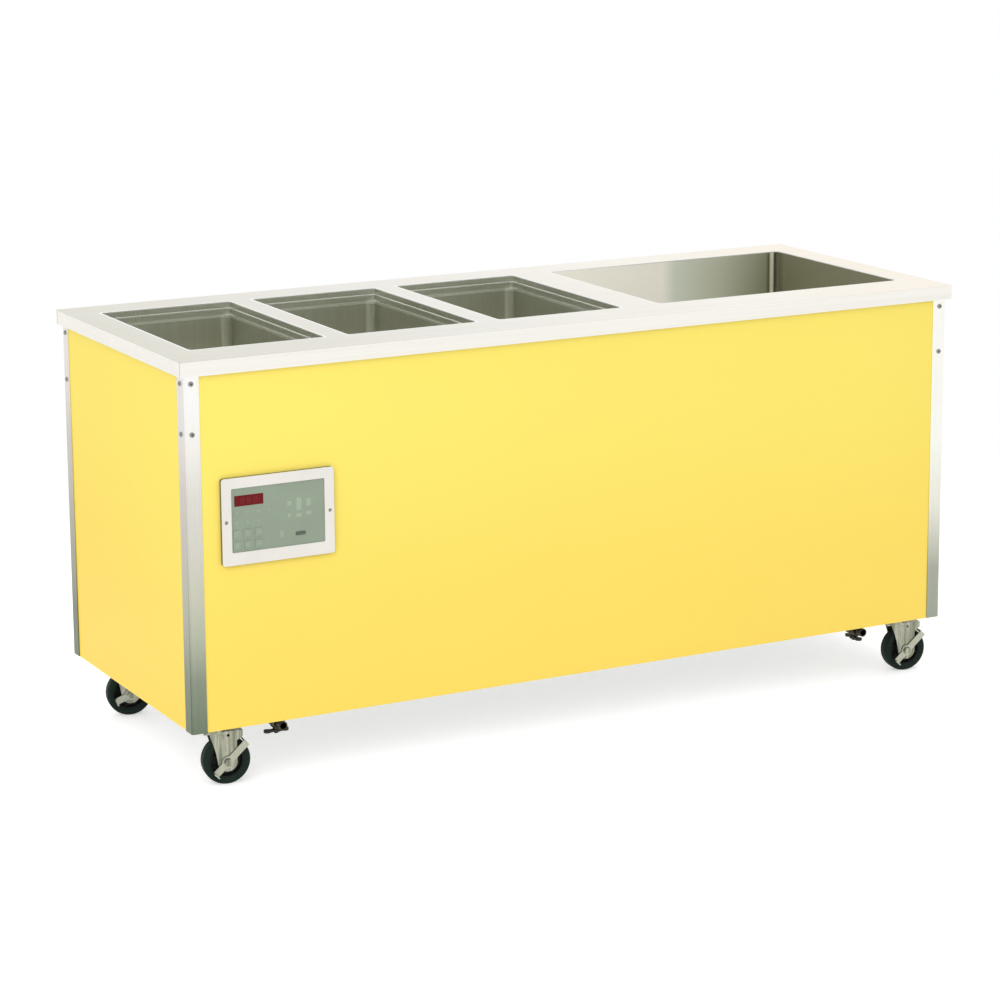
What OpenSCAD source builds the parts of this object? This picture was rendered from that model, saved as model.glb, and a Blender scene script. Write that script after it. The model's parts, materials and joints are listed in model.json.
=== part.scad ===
// Hot and cold food station: a stainless counter with three hot wells and one cold pan over a panelled
// cabinet, on four swivel casters. Millimetres, +Z up, X along the length, the control side faces -Y.
// The origin is on the floor under the middle of the counter.

/* [Counter] */
// Length of the counter, left to right
counter_l = 1880; // [1860:1:2000]
// Depth of the counter, front to back
counter_w = 711; // [700:1:780]
// Height of the counter's top face above the floor
counter_h = 914; // [880:1:960]
// Thickness of the counter's stainless sheet
counter_t = 2; // [1.5:0.1:3]
// Height of the turned-down edge
edge_h = 32; // [24:1:44]
// How far the counter stands out past the cabinet
overhang = 9; // [7:0.5:12]

/* [Hot wells] */
// Number of hot wells
well_count = 3; // [1:1:3]
// Width of a well's cut-out, along X
well_cut_x = 302; // [280:1:305]
// Length of a well's cut-out, along Y
well_cut_y = 504; // [440:1:508]
// Distance from one well's centre to the next
well_pitch = 356; // [350:1:358]
// Distance from the counter's left end to the first well's cut-out
well_margin = 69; // [59:1:75]
// Centre of all the basins, along Y
basin_y = 13; // [0:1:20]
// Corner radius of the cut-outs
cut_r = 9; // [4:0.5:14]
// Depth of a well below the counter's face
well_depth = 165; // [120:1:180]
// Drop from the counter's face to the first step
step_1_drop = 14; // [10:0.5:18]
// Drop from the counter's face to the second step
step_2_drop = 30; // [24:0.5:34]
// Width of the first step
step_1_w = 1.5; // [1:0.5:2.5]
// Width of the second step, which carries the bead
step_2_w = 3.5; // [3:0.5:5]
// Height of the bead on the second step
bead_h = 2; // [0.5:0.25:3]
// Corner radius of the well below its steps
well_r = 22; // [14:1:30]
// Thickness of the basins' stainless sheet
basin_t = 1.2; // [0.8:0.1:1.5]
// Width of the flange under the counter round each basin
flange_w = 18; // [14:1:20]

/* [Cold pan] */
// Distance from the last well's cut-out to the cold pan's cut-out
basin_gap = 97; // [80:1:140]
// Distance from the cold pan's cut-out to the counter's right end
cold_margin = 68; // [64:1:90]
// Width of the cold pan's cut-out, along Y
cold_cut_y = 502; // [440:1:510]
// Depth of the cold pan below the counter's face
cold_depth = 203; // [150:1:220]
// Thickness of the foam round the cold pan
foam_t = 22; // [15:1:25]

/* [Cabinet] */
// Height of the cabinet's underside above the floor
cabinet_z = 136; // [130:1:150]
// Width of each face of a corner post
post_w = 34; // [32:1:46]
// Thickness of a corner post
post_t = 2; // [1:0.25:3]
// Outer corner radius of a post
post_r = 5; // [4:0.5:8]
// Thickness of the coloured panels
panel_t = 2; // [1.5:0.5:6]
// Width of the steel angles inside
angle_w = 30; // [30:1:36]
// Thickness of the steel angles inside
angle_t = 3; // [2:0.5:4]
// Thickness of the base pan's sheet
base_t = 2; // [2:0.25:4]
// Height of the base pan's flange
base_flange_h = 25; // [15:1:26]
// Distance from a post's corner edge to its screws
screw_inset = 17; // [15:0.5:20]
// Drops from the counter's face to the upper and lower screws
screw_drop_1 = 48; // [44:1:60]
// Drop from the counter's face to the lower screws
screw_drop_2 = 152; // [120:1:170]
// Radius of a post screw's shank
screw_r = 2.4; // [2:0.1:3]

/* [Controls] */
// Distance from the counter's left end to the control panel's centre
control_inset = 208; // [180:1:240]
// Height of the control panel's centre
control_z = 574; // [540:1:600]
// Width of the bezel
bezel_x = 250; // [246:1:270]
// Height of the bezel
bezel_y = 182; // [170:1:200]
// How far the bezel stands out of the panel
bezel_d = 10; // [9:0.5:12]
// Width of the window that shows the overlay
overlay_x = 208; // [200:1:212]
// Height of the window that shows the overlay
overlay_y = 134; // [128:1:140]
// Width of the red display window
display_x = 64; // [50:1:66]
// Height of the red display window
display_y = 22; // [16:0.5:24]
// Side of a square key
key_w = 17; // [12:0.5:18]
// Travel of a key
key_travel = 0.6; // [0.3:0.1:0.7]

/* [Casters] */
// Diameter of a caster's wheel
wheel_d = 102; // [90:1:104]
// Width of a caster's tyre
wheel_w = 30; // [24:1:32]
// Distance from the counter's ends to the casters' kingpins
caster_inset_x = 85; // [80:1:100]
// Distance from the counter's front and back to the casters' kingpins
caster_inset_y = 80.5; // [75:0.5:95]
// Distance from a caster's kingpin to its axle
caster_trail = 24; // [16:1:28]
// Turn of the casters at rest, about Z
caster_turn = -9; // [-60:1:60]
// Slope of a released brake lever at rest
brake_up = 44; // [30:1:46]
// Slope of the rear left brake lever, which is part-way down
brake_part_up = 22; // [15:1:40]
// Radius of a caster's axle
axle_r = 5; // [4:0.25:6]
// Radius of a caster's kingpin
kingpin_r = 8; // [6:0.5:9]

/* [Drains and power] */
// Outer radius of the drain pipes
pipe_r = 13; // [10:0.5:14]
// Radius of the hole in each basin for its drain
drain_r = 19; // [16:0.5:22]
// Distance from the counter's front edge to the drain valves' stems
valve_inset = 65.5; // [56:0.5:71]
// Length of a valve's handle
valve_handle_l = 56; // [44:1:60]
// Radius of the drain outlets
outlet_r = 9.5; // [8:0.5:11]
// Distance from the counter's left end to the power cord's gland
gland_inset_x = 340; // [300:5:540]
// Distance from the counter's back edge to the power cord's gland
gland_inset_y = 105.5; // [95:0.5:205]
// Radius of the gland's thread
gland_r = 10; // [9:0.5:12]
// Radius of the gland's hole for the cord
gland_bore_r = 6.5; // [5:0.5:7]

/* [Cooling unit] */
// Distance from the counter's right end to the cooling unit's centre
unit_inset = 460; // [440:1:470]
// Width of the cooling unit's base
unit_w = 400; // [380:1:420]
// Depth of the cooling unit's base
unit_d = 430; // [420:1:440]
// Radius of the compressor
compressor_r = 82; // [70:1:90]
// Height of the compressor
compressor_h = 190; // [160:1:210]
// Radius of the fan
fan_r = 95; // [80:1:98]
// Number of fan blades
fan_blades = 4; // [3:1:5]
// Number of slats in the rear grille
slat_count = 11; // [8:1:12]
// Number of straight runs in the evaporator's coil
coil_legs = 8; // [4:2:8]

/* [Hidden] */
$fn = 48;
// Clearances: round running fits, flat running gaps, holes round screws, and seats that nearly touch
run_gap = 0.05;
side_gap = 0.3;
hole_gap = 0.1;
seat_gap = 0.2;
// Overlap that keeps a cut from ending on a face
eps = 1;
CASTERS = ["front_left", "front_right", "rear_left", "rear_right"];
// The first key's place on the control panel, and the distance from key to key
key_x1 = -92;
key_y1 = -27;
key_pitch = 24;
KEYS = [
    ["key_well_1", key_x1, key_y1],
    ["key_well_2", key_x1 + key_pitch, key_y1],
    ["key_well_3", key_x1 + 2 * key_pitch, key_y1],
    ["key_cold", key_x1, key_y1 - key_pitch],
    ["key_down", key_x1 + key_pitch, key_y1 - key_pitch],
    ["key_up", key_x1 + 2 * key_pitch, key_y1 - key_pitch],
];
// Cabinet faces and levels
half_l = counter_l / 2;
half_w = counter_w / 2;
under_z = counter_h - counter_t;
control_x = control_inset - half_l;
caster_x = half_l - caster_inset_x;
caster_y = half_w - caster_inset_y;
gland_x = gland_inset_x - half_l;
gland_y = half_w - gland_inset_y;
unit_x = half_l - unit_inset;
cab_x = half_l - overhang;
cab_y = half_w - overhang;
panel_x = cab_x - post_t;
panel_y = cab_y - post_t;
in_x = panel_x - panel_t;
in_y = panel_y - panel_t;
corner_room = max(0, post_r - post_t) + seat_gap;
// A post screw's head is this many times as wide as its shank
screw_head = 2.3;
floor_z = cabinet_z + base_t;
frame_top = under_z - basin_t;
rail_z = frame_top - angle_w;
// Basins
well_floor = counter_h - well_depth;
cold_floor = counter_h - cold_depth;
step_1_z = counter_h - step_1_drop;
step_2_z = counter_h - step_2_drop;
well_in_x = well_cut_x - 2 * (step_1_w + step_2_w);
well_in_y = well_cut_y - 2 * (step_1_w + step_2_w);
well_first_x = well_margin + well_cut_x / 2 - half_l;
wells_end = well_first_x + (well_count - 1) * well_pitch + well_cut_x / 2;
cold_left = wells_end + basin_gap;
cold_right = half_l - cold_margin;
cold_x = (cold_left + cold_right) / 2;
cold_cut_x = cold_right - cold_left;
bar_w = 12;
bar_lap = 3;
// The cold pan's drain, in from the pan's right end and from its front
drain_inset_x = 139;
drain_inset_y = 48;
cold_drain_x = cold_right - drain_inset_x;
cold_drain_y = basin_y - cold_cut_y / 2 + drain_inset_y;
strainer_t = 1.5;
element_r = 4;
element_room = 14;
// Heating elements and probes, set by the well that they heat
element_runs = 4;
element_pitch = well_in_x * 0.22;
element_margin = 65;
probe_r = 3;
probe_l = 70;
pad_t = 12;
// Drains
manifold_z = well_floor - basin_t - 50;
low_run_z = 205;
valve_z = cabinet_z - 17;
valve_y = half_w - valve_inset;
valve_l = 36;
valve_body_r = 13;
valve_ball_r = valve_body_r + 2;
outlet_l = 20;
stem_r = 4;
handle_t = 5;
handle_z = valve_z - valve_ball_r - handle_t / 2 - 1.5;
cold_turn_y = cold_drain_y;
hot_turn_y = 55 - valve_y;
gland_l = 35;
gland_drop = 20;
gland_nut_h = 6;
// Controls, as depths out of the panel's face
overlay_rise = 2;
bezel_r = 6;
bezel_screw_r = 1.8;
bezel_head_r = 3.6;
bezel_head_h = 1.6;
lip_t = 2.5;
overlay_t = 2;
overlay_front = bezel_d - lip_t;
overlay_back = overlay_front - overlay_t;
pocket_x = overlay_x + 4;
pocket_y = overlay_y + 4;
board_t = 1.6;
key_rise = 0.8;
key_flange = 1;
power_key = ["key_power", 49.5, -41];
power_key_x = 22;
power_key_y = 7.5;
display_at = [-64.5, 42];
// Lamps: a row of four under the display, three over the keys, a pair for each well, and one by the power key
lens_r = 2.2;
lamp_row_1 = 17;
lamp_row_2 = -3;
pair_x1 = 25;
pair_pitch = 21.5;
pair_y1 = -2;
pair_gap = 26;
power_lamp_x = 7.5;
power_lamp_y = -38;
lens_spots = concat(
    [for (k = [0 : 3]) [key_x1 + k * key_pitch, lamp_row_1]],
    [for (k = [0 : 2]) [key_x1 + k * key_pitch, lamp_row_2]],
    [for (k = [0 : 2], y = [pair_y1, pair_y1 + pair_gap]) [pair_x1 + k * pair_pitch, y]],
    [[power_lamp_x, power_lamp_y]]
);
// Parts on the board
switch_r = 2.5;
relay_pitch = 60;
relay_x = 20;
relay_y = 28;
relay_h = 22;
box_wall = 3;
box_depth = 60;
box_x = pocket_x + 2;
box_y = pocket_y + 2;
// Casters
plate_t = 4;
plate_x = 95;
plate_y = 64;
plate_bolt_x = 76;
plate_bolt_y = 44.5;
bolt_r = 4;
race_r = 25;
race_h = 3.6;
crown_z = 113;
crown_t = 4;
leg_t = 3;
leg_in = wheel_w / 2 + 3.5;
leg_end_r = 21;
// A leg's reach from its axle: back and front at the crown, and the depth of its corners
leg_back = 36;
leg_front = 33;
leg_corner = 9;
leg_neck = 20;
rib_w = 18;
rib_t = 0.8;
crown_back = race_r + 1;
crown_front = leg_front + caster_trail;
nut_r = 7.5;
nut_h = 6;
axle_z = wheel_d / 2;
tyre_t = 13;
brake_t = 3;
brake_reach = 2.5;
// Cooling unit
unit_y = 75;
unit_h = 20;
unit_top = floor_z + unit_h;
coil_x = 340;
coil_y = 45;
coil_h = 235;
coil_z = unit_top;
coil_mid_z = coil_z + coil_h / 2;
coil_back = unit_y + unit_d / 2 - 8;
compressor_inset = 90;
compressor_x = unit_x - compressor_inset;
compressor_y = -40;
fan_y = coil_back - coil_y - 22;
blade_chord = 46;
blade_t = 1.6;
blade_root = 16;
motor_r = 36;
motor_l = 55;
motor_gap = 22;
shaft_r = 4;
line_r = 4.8;
elbow_r = line_r + 1.5;
coil_run = 330;
coil_shift = 10;
line_y = basin_y + coil_shift - coil_run / 2;
coil_inset = 46;
drain_room = 27;
suction_x = cold_left + coil_inset;
liquid_x = cold_drain_x - drain_room;
coil_centre_x = (suction_x + liquid_x) / 2;
coil_pitch = (liquid_x - suction_x) / (coil_legs - 1);
grille_x = 340;
grille_z = 220;

// A rectangle with round corners, centred
module rounded_rect(l, w, r) {
    square([l - 2 * r, w], center = true);
    square([l, w - 2 * r], center = true);
    for (sx = [-1, 1], sy = [-1, 1])
        translate([sx * (l / 2 - r), sy * (w / 2 - r)])
            circle(r = r);
}
// A block with round upright corners, from z0 to z1
module rounded_block(l, w, r, z0, z1) {
    translate([0, 0, z0])
        linear_extrude(z1 - z0)
            rounded_rect(l, w, r);
}
// A block given by its two corners
module block(a, b) {
    translate(a)
        cube(b - a);
}
// A rod along X, Y or Z from a point
module rod_x(p, r, l) {
    translate(p)
        rotate([0, 90, 0])
            cylinder(r = r, h = l);
}
module rod_y(p, r, l) {
    translate(p)
        rotate([-90, 0, 0])
            cylinder(r = r, h = l);
}
module rod_z(p, r, l) {
    translate(p)
        cylinder(r = r, h = l);
}
// A tube that runs to and fro along Y in one plane, with round ends
module serpentine(count, length, pitch, r) {
    for (i = [0 : count - 1])
        rod_y([(i - (count - 1) / 2) * pitch, -length / 2, 0], r, length);
    for (i = [0 : count - 2])
        translate([(i - (count - 2) / 2) * pitch, (i % 2 == 0 ? 1 : -1) * length / 2, 0])
            rotate([0, 0, i % 2 == 0 ? 0 : 180])
                rotate_extrude(angle = 180)
                    translate([pitch / 2, 0])
                        circle(r = r);
}
// A cross-recess screw along +Z: its head stands on z = 0 and its shank goes down
module pan_screw(r, head_r, head_h, l) {
    difference() {
        union() {
            translate([0, 0, -l])
                cylinder(r = r, h = l + eps / 2);
            cylinder(r = head_r, h = head_h * 0.45);
            translate([0, 0, head_h * 0.45])
                cylinder(r1 = head_r, r2 = head_r * 0.62, h = head_h * 0.55);
        }
        for (a = [0, 90])
            rotate([0, 0, a])
                translate([-head_r * 0.5, -head_r * 0.1, head_h * 0.5])
                    cube([head_r, head_r * 0.2, head_h]);
    }
}
function well_x(i) = well_first_x + i * well_pitch;

// Counter
module basin_cuts(z0, z1) {
    for (i = [0 : well_count - 1])
        translate([well_x(i), basin_y, 0])
            rounded_block(well_cut_x, well_cut_y, cut_r, z0, z1);
    translate([cold_x, basin_y, 0])
        rounded_block(cold_cut_x, cold_cut_y, cut_r, z0, z1);
}
module countertop() {
    edge_z = counter_h - edge_h;
    lip_x = cab_x + side_gap;
    lip_y = cab_y + side_gap;
    color("#ece8df")
        difference() {
            block([-half_l, -half_w, edge_z], [half_l, half_w, counter_h]);
            block([-half_l + counter_t, -half_w + counter_t, edge_z + counter_t],
                [half_l - counter_t, half_w - counter_t, under_z]);
            block([-lip_x, -lip_y, edge_z - eps], [lip_x, lip_y, edge_z + counter_t + eps]);
            basin_cuts(under_z - eps, counter_h + eps);
        }
}

// Cabinet
module top_frame() {
    left_edge = well_x(0) - well_cut_x / 2 - flange_w;
    right_edge = well_x(well_count - 1) + well_cut_x / 2 + flange_w;
    color("#9a9c9a") {
        difference() {
            block([-in_x, -in_y, rail_z], [in_x, in_y, frame_top]);
            block([-in_x + angle_t, -in_y + angle_t, rail_z - eps],
                [in_x - angle_t, in_y - angle_t, frame_top - angle_t]);
            block([-in_x + angle_w, -in_y + angle_w, rail_z],
                [in_x - angle_w, in_y - angle_w, under_z + eps]);
        }
        flange_bar(left_edge, -1);
        flange_bar(right_edge, 1);
        for (i = [0 : 1 : well_count - 2]) {
            flange_bar(well_x(i) + well_cut_x / 2 + flange_w, 1);
            flange_bar(well_x(i + 1) - well_cut_x / 2 - flange_w, -1);
        }
        flange_bar(cold_x - cold_cut_x / 2 - flange_w, -1);
        flange_bar(cold_x + cold_cut_x / 2 + flange_w, 1);
    }
}
// A bar from front to back that laps under the edge of a basin's flange and lies to one side of it
module flange_bar(edge, side) {
    reach = in_y - angle_t;
    near = edge - side * bar_lap;
    far = near + side * bar_w;
    block([min(near, far), -reach, rail_z], [max(near, far), reach, frame_top]);
}
module upright(sx, sy) {
    difference() {
        linear_extrude(rail_z - floor_z)
            polygon([
                [sx * in_x, sy * in_y],
                [sx * (in_x - angle_w), sy * in_y],
                [sx * (in_x - angle_w), sy * (in_y - angle_t)],
                [sx * (in_x - angle_t), sy * (in_y - angle_t)],
                [sx * (in_x - angle_t), sy * (in_y - angle_w)],
                [sx * in_x, sy * (in_y - angle_w)],
            ]);
        translate([0, 0, -floor_z])
            post_screw_holes();
    }
}
module uprights() {
    color("#9a9c9a")
        translate([0, 0, floor_z])
            for (sx = [-1, 1], sy = [-1, 1])
                upright(sx, sy);
}
module base_pan() {
    pad_x = plate_x + 15;
    pad_y = plate_y + 20;
    corner_cut = 2 * (angle_w + side_gap);
    color("#a6a8a6")
        difference() {
            union() {
                block([-in_x, -in_y, cabinet_z], [in_x, in_y, floor_z]);
                difference() {
                    block([-in_x, -in_y, cabinet_z], [in_x, in_y, floor_z + base_flange_h]);
                    block([-in_x + base_t, -in_y + base_t, floor_z - eps],
                        [in_x - base_t, in_y - base_t, floor_z + base_flange_h + eps]);
                    for (sx = [-1, 1], sy = [-1, 1])
                        translate([sx * in_x, sy * in_y, floor_z + base_flange_h])
                            cube([corner_cut, corner_cut, 2 * base_flange_h], center = true);
                }
                for (sx = [-1, 1], sy = [-1, 1])
                    translate([sx * caster_x, sy * caster_y, floor_z + base_t - eps / 2])
                        cube([pad_x, pad_y, 2 * base_t + eps], center = true);
            }
            caster_bolt_spots()
                rod_z([0, 0, cabinet_z - 5 * eps], bolt_r + hole_gap, 30);
            rod_z([well_x(0), hot_turn_y, cabinet_z - eps], pipe_r + seat_gap, 3 * base_t);
            rod_z([cold_drain_x, cold_turn_y, cabinet_z - eps], pipe_r + seat_gap, 3 * base_t);
            rod_z([gland_x, gland_y, cabinet_z - eps], gland_r + hole_gap, 3 * base_t);
        }
}
module post_profile() {
    difference() {
        corner_fill(0);
        corner_fill(post_t);
    }
}
// The quarter inside a post's corner, drawn in by d, with the corner at the origin
module corner_fill(d) {
    reach = d > 0 ? post_w + eps : post_w;
    translate([-reach, -reach])
        square([reach - post_r, reach - d]);
    translate([-reach, -reach])
        square([reach - d, reach - post_r]);
    translate([-post_r, -post_r])
        circle(r = post_r - d);
}
module corner_posts() {
    color("#b9bdb6")
        difference() {
            for (sx = [0, 1], sy = [0, 1])
                mirror([sx, 0, 0])
                    mirror([0, sy, 0])
                        translate([cab_x, cab_y, cabinet_z])
                            linear_extrude(under_z - cabinet_z)
                                post_profile();
            post_screw_holes();
        }
}
// Each place of a post screw, with +Z pointing out of the cabinet
module post_screw_spots() {
    for (sx = [-1, 1], sy = [-1, 1], drop = [screw_drop_1, screw_drop_2]) {
        translate([sx * (cab_x - screw_inset), sy * cab_y, counter_h - drop])
            rotate([sy > 0 ? -90 : 90, 0, 0])
                children();
        translate([sx * cab_x, sy * (cab_y - screw_inset), counter_h - drop])
            rotate([0, sx > 0 ? 90 : -90, 0])
                children();
    }
}
module post_screw_holes() {
    post_screw_spots()
        translate([0, 0, -post_t - panel_t - angle_t - eps])
            cylinder(r = screw_r + hole_gap, h = post_t + panel_t + angle_t + 2 * eps);
}
module post_screws() {
    color("#8d9090")
        post_screw_spots()
            pan_screw(screw_r, screw_head * screw_r, screw_r, post_t + panel_t + angle_t + 2 * eps);
}
module front_panel() {
    color("#fddc45")
        difference() {
            block([corner_room - panel_x, -panel_y, cabinet_z], [panel_x - corner_room, -in_y, under_z]);
            post_screw_holes();
            at_control() {
                translate([0, overlay_rise, -panel_t - eps])
                    linear_extrude(panel_t + 2 * eps)
                        rounded_rect(box_x + 2 * seat_gap, box_y + 2 * seat_gap, 3);
                bezel_screw_spots()
                    rod_z([0, 0, -panel_t - eps], bezel_screw_r + hole_gap, panel_t + 2 * eps);
            }
        }
}
module rear_panel() {
    color("#fddc45")
        difference() {
            block([corner_room - panel_x, in_y, cabinet_z], [panel_x - corner_room, panel_y, under_z]);
            post_screw_holes();
            translate([unit_x, in_y + panel_t / 2, coil_mid_z])
                cube([grille_x + 2 * seat_gap, panel_t + 2 * eps, grille_z + 2 * seat_gap], center = true);
        }
}
module side_panel(sx) {
    reach = min(in_y, panel_y - corner_room);
    color("#fddc45")
        difference() {
            translate([sx * (in_x + panel_t / 2), 0, (cabinet_z + under_z) / 2])
                cube([panel_t, 2 * reach, under_z - cabinet_z], center = true);
            post_screw_holes();
        }
}

// Hot wells
// The outside of a basin's part whose inside is l by w, from its floor at z0 up to just under z1
module sheet_block(l, w, r, z0, z1) {
    rounded_block(l + 2 * basin_t, w + 2 * basin_t, r + basin_t, z0 - basin_t, z1 - basin_t / 2);
}
module hot_well(i) {
    rim = 2 * flange_w;
    mid_x = well_cut_x - 2 * step_1_w;
    mid_y = well_cut_y - 2 * step_1_w;
    bead_x = well_in_x + step_2_w;
    bead_y = well_in_y + step_2_w;
    bead_z = step_2_z + bead_h;
    color("#8f9174")
        translate([well_x(i), basin_y, 0])
            difference() {
                union() {
                    rounded_block(well_cut_x + rim, well_cut_y + rim, cut_r, under_z - basin_t, under_z);
                    sheet_block(well_cut_x, well_cut_y, cut_r, step_1_z, under_z);
                    sheet_block(mid_x, mid_y, cut_r, step_2_z, step_1_z);
                    sheet_block(well_in_x, well_in_y, well_r, well_floor, step_2_z);
                }
                rounded_block(well_cut_x, well_cut_y, cut_r, step_1_z, under_z + eps);
                difference() {
                    rounded_block(mid_x, mid_y, cut_r, step_2_z, step_1_z + eps);
                    rounded_block(bead_x, bead_y, well_r, step_2_z - eps, bead_z);
                }
                rounded_block(well_in_x, well_in_y, well_r, well_floor, step_1_z);
                rod_z([0, 0, well_floor - 3 * eps], drain_r, 5 * eps);
            }
}
module well_insulation() {
    top_z = step_2_z - basin_t - seat_gap;
    low_z = well_floor - basin_t - element_room;
    hug_x = well_in_x + 2 * (basin_t + seat_gap);
    hug_y = well_in_y + 2 * (basin_t + seat_gap);
    color("#e6dfc4")
        for (i = [0 : well_count - 1])
            translate([well_x(i), basin_y, 0])
                difference() {
                    rounded_block(hug_x + 2 * pad_t, hug_y + 2 * pad_t, well_r, low_z - pad_t, top_z);
                    rounded_block(hug_x, hug_y, well_r, low_z, top_z + eps);
                    rod_z([0, 0, low_z - pad_t - eps], drain_r + 8, pad_t + 2 * eps);
                }
}
module heating_elements() {
    color("#6d6a64")
        for (i = [0 : well_count - 1])
            translate([well_x(i), basin_y, well_floor - basin_t - seat_gap - element_r])
                serpentine(element_runs, well_in_y - 2 * element_margin, element_pitch, element_r);
}
module temperature_probes() {
    color("#c9a56a")
        for (i = [0 : well_count - 1])
            rod_y([well_x(i), basin_y + probe_l, well_floor - basin_t - seat_gap - probe_r],
                probe_r, probe_l);
}
// A drain body with its strainer flange in a basin's hole
module drain_body(floor_level) {
    difference() {
        union() {
            rod_z([0, 0, floor_level], drain_r + 7, strainer_t);
            rod_z([0, 0, floor_level - basin_t - 20], drain_r - hole_gap, basin_t + 20 + eps);
        }
        rod_z([0, 0, floor_level - 15], drain_r - 4, 20);
    }
}
module hot_drain_pipe() {
    last = well_x(well_count - 1);
    first = well_x(0);
    hub_r = pipe_r + 3;
    color("#b0763f") {
        for (i = [0 : well_count - 1]) {
            translate([well_x(i), basin_y, 0])
                drain_body(well_floor);
            rod_z([well_x(i), basin_y, manifold_z], pipe_r, well_floor - basin_t - 19 - manifold_z);
            translate([well_x(i), basin_y, manifold_z])
                sphere(r = hub_r);
        }
        if (well_count > 1)
            rod_x([first, basin_y, manifold_z], pipe_r - 1, last - first);
        rod_z([first, basin_y, low_run_z], pipe_r - 1, manifold_z - low_run_z);
        translate([first, basin_y, low_run_z])
            sphere(r = hub_r);
        rod_y([first, hot_turn_y, low_run_z], pipe_r - 1, basin_y - hot_turn_y);
        translate([first, hot_turn_y, low_run_z])
            sphere(r = hub_r);
        rod_z([first, hot_turn_y, valve_z], pipe_r, low_run_z - valve_z);
        rod_y([first, -valve_y + valve_l / 2, valve_z], pipe_r - 1,
            hot_turn_y + valve_y - valve_l / 2);
        translate([first, hot_turn_y, valve_z])
            sphere(r = hub_r - 1.5);
    }
}
module cold_drain_pipe() {
    color("#b0763f") {
        translate([cold_drain_x, cold_drain_y, 0])
            drain_body(cold_floor);
        rod_z([cold_drain_x, cold_drain_y, valve_z], pipe_r, cold_floor - basin_t - 19 - valve_z);
        translate([cold_drain_x, cold_turn_y, valve_z])
            sphere(r = pipe_r + 1.5);
        rod_y([cold_drain_x, -valve_y + valve_l / 2, valve_z], pipe_r - 1,
            cold_turn_y + valve_y - valve_l / 2);
    }
}
// Quarter-turn valves under the cabinet: the outlets point to the front and the stems point down
module drain_valves() {
    for (x = [well_x(0), cold_drain_x])
        color("#8a8258")
            translate([x, -valve_y, valve_z])
                drain_valve();
}
module drain_valve() {
    difference() {
        union() {
            rod_y([0, -valve_l / 2, 0], valve_body_r, valve_l);
            sphere(r = valve_ball_r);
            rod_y([0, -valve_l / 2 - outlet_l, 0], outlet_r, outlet_l + eps);
            rod_z([0, 0, handle_z - valve_z + handle_t / 2], 7, valve_body_r);
            rod_z([0, 0, handle_z - valve_z - handle_t / 2 - 4], stem_r, 3 * handle_t);
        }
        rod_y([0, -valve_l / 2 - outlet_l - eps, 0], outlet_r - 2.5, outlet_l + 6);
    }
}
// A valve's butterfly handle, with its length along X at turn 0
module valve_handle(x, turn) {
    wing = valve_handle_l / 2 - 8;
    color("#1c1e1c")
        translate([x, -valve_y, handle_z - side_gap])
            rotate([0, 0, turn])
                difference() {
                    union() {
                        translate([0, 0, -handle_t / 2])
                            cylinder(r = 9, h = handle_t);
                        for (s = [-1, 1]) {
                            block([min(0, s * wing), -5, -handle_t / 2],
                                [max(0, s * wing), 5, handle_t / 2]);
                            translate([s * wing, 0, -handle_t / 2])
                                cylinder(r = 8, h = handle_t);
                        }
                    }
                    rod_z([0, 0, -handle_t], stem_r + run_gap, 2 * handle_t);
                }
}

// Cold pan
module cold_pan() {
    rim = 2 * flange_w;
    color("#a9a893")
        translate([cold_x, basin_y, 0])
            difference() {
                union() {
                    rounded_block(cold_cut_x + rim, cold_cut_y + rim, cut_r, under_z - basin_t, under_z);
                    sheet_block(cold_cut_x, cold_cut_y, cut_r, cold_floor, under_z);
                }
                rounded_block(cold_cut_x, cold_cut_y, cut_r, cold_floor, under_z + eps);
                rod_z([cold_drain_x - cold_x, cold_drain_y - basin_y, cold_floor - 3 * eps],
                    drain_r, 5 * eps);
            }
}
module foam_hole(x, y, r, z) {
    rod_z([x - cold_x, y - basin_y, z - foam_t - eps], r, foam_t + 2 * eps);
}
module cold_pan_insulation() {
    top_z = under_z - basin_t - seat_gap;
    low_z = cold_floor - basin_t - element_room;
    hug_x = cold_cut_x + 2 * (basin_t + seat_gap);
    hug_y = cold_cut_y + 2 * (basin_t + seat_gap);
    foam_top = rail_z - seat_gap;
    color("#e3d9a8")
        translate([cold_x, basin_y, 0])
            difference() {
                rounded_block(hug_x + 2 * foam_t, hug_y + 2 * foam_t, cut_r, low_z - foam_t, foam_top);
                rounded_block(hug_x, hug_y, cut_r, low_z, top_z + eps);
                foam_hole(cold_drain_x, cold_drain_y, drain_r + 4, low_z);
                foam_hole(suction_x, line_y, line_r + seat_gap, low_z);
                foam_hole(liquid_x, line_y, line_r + seat_gap, low_z);
            }
}
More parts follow.
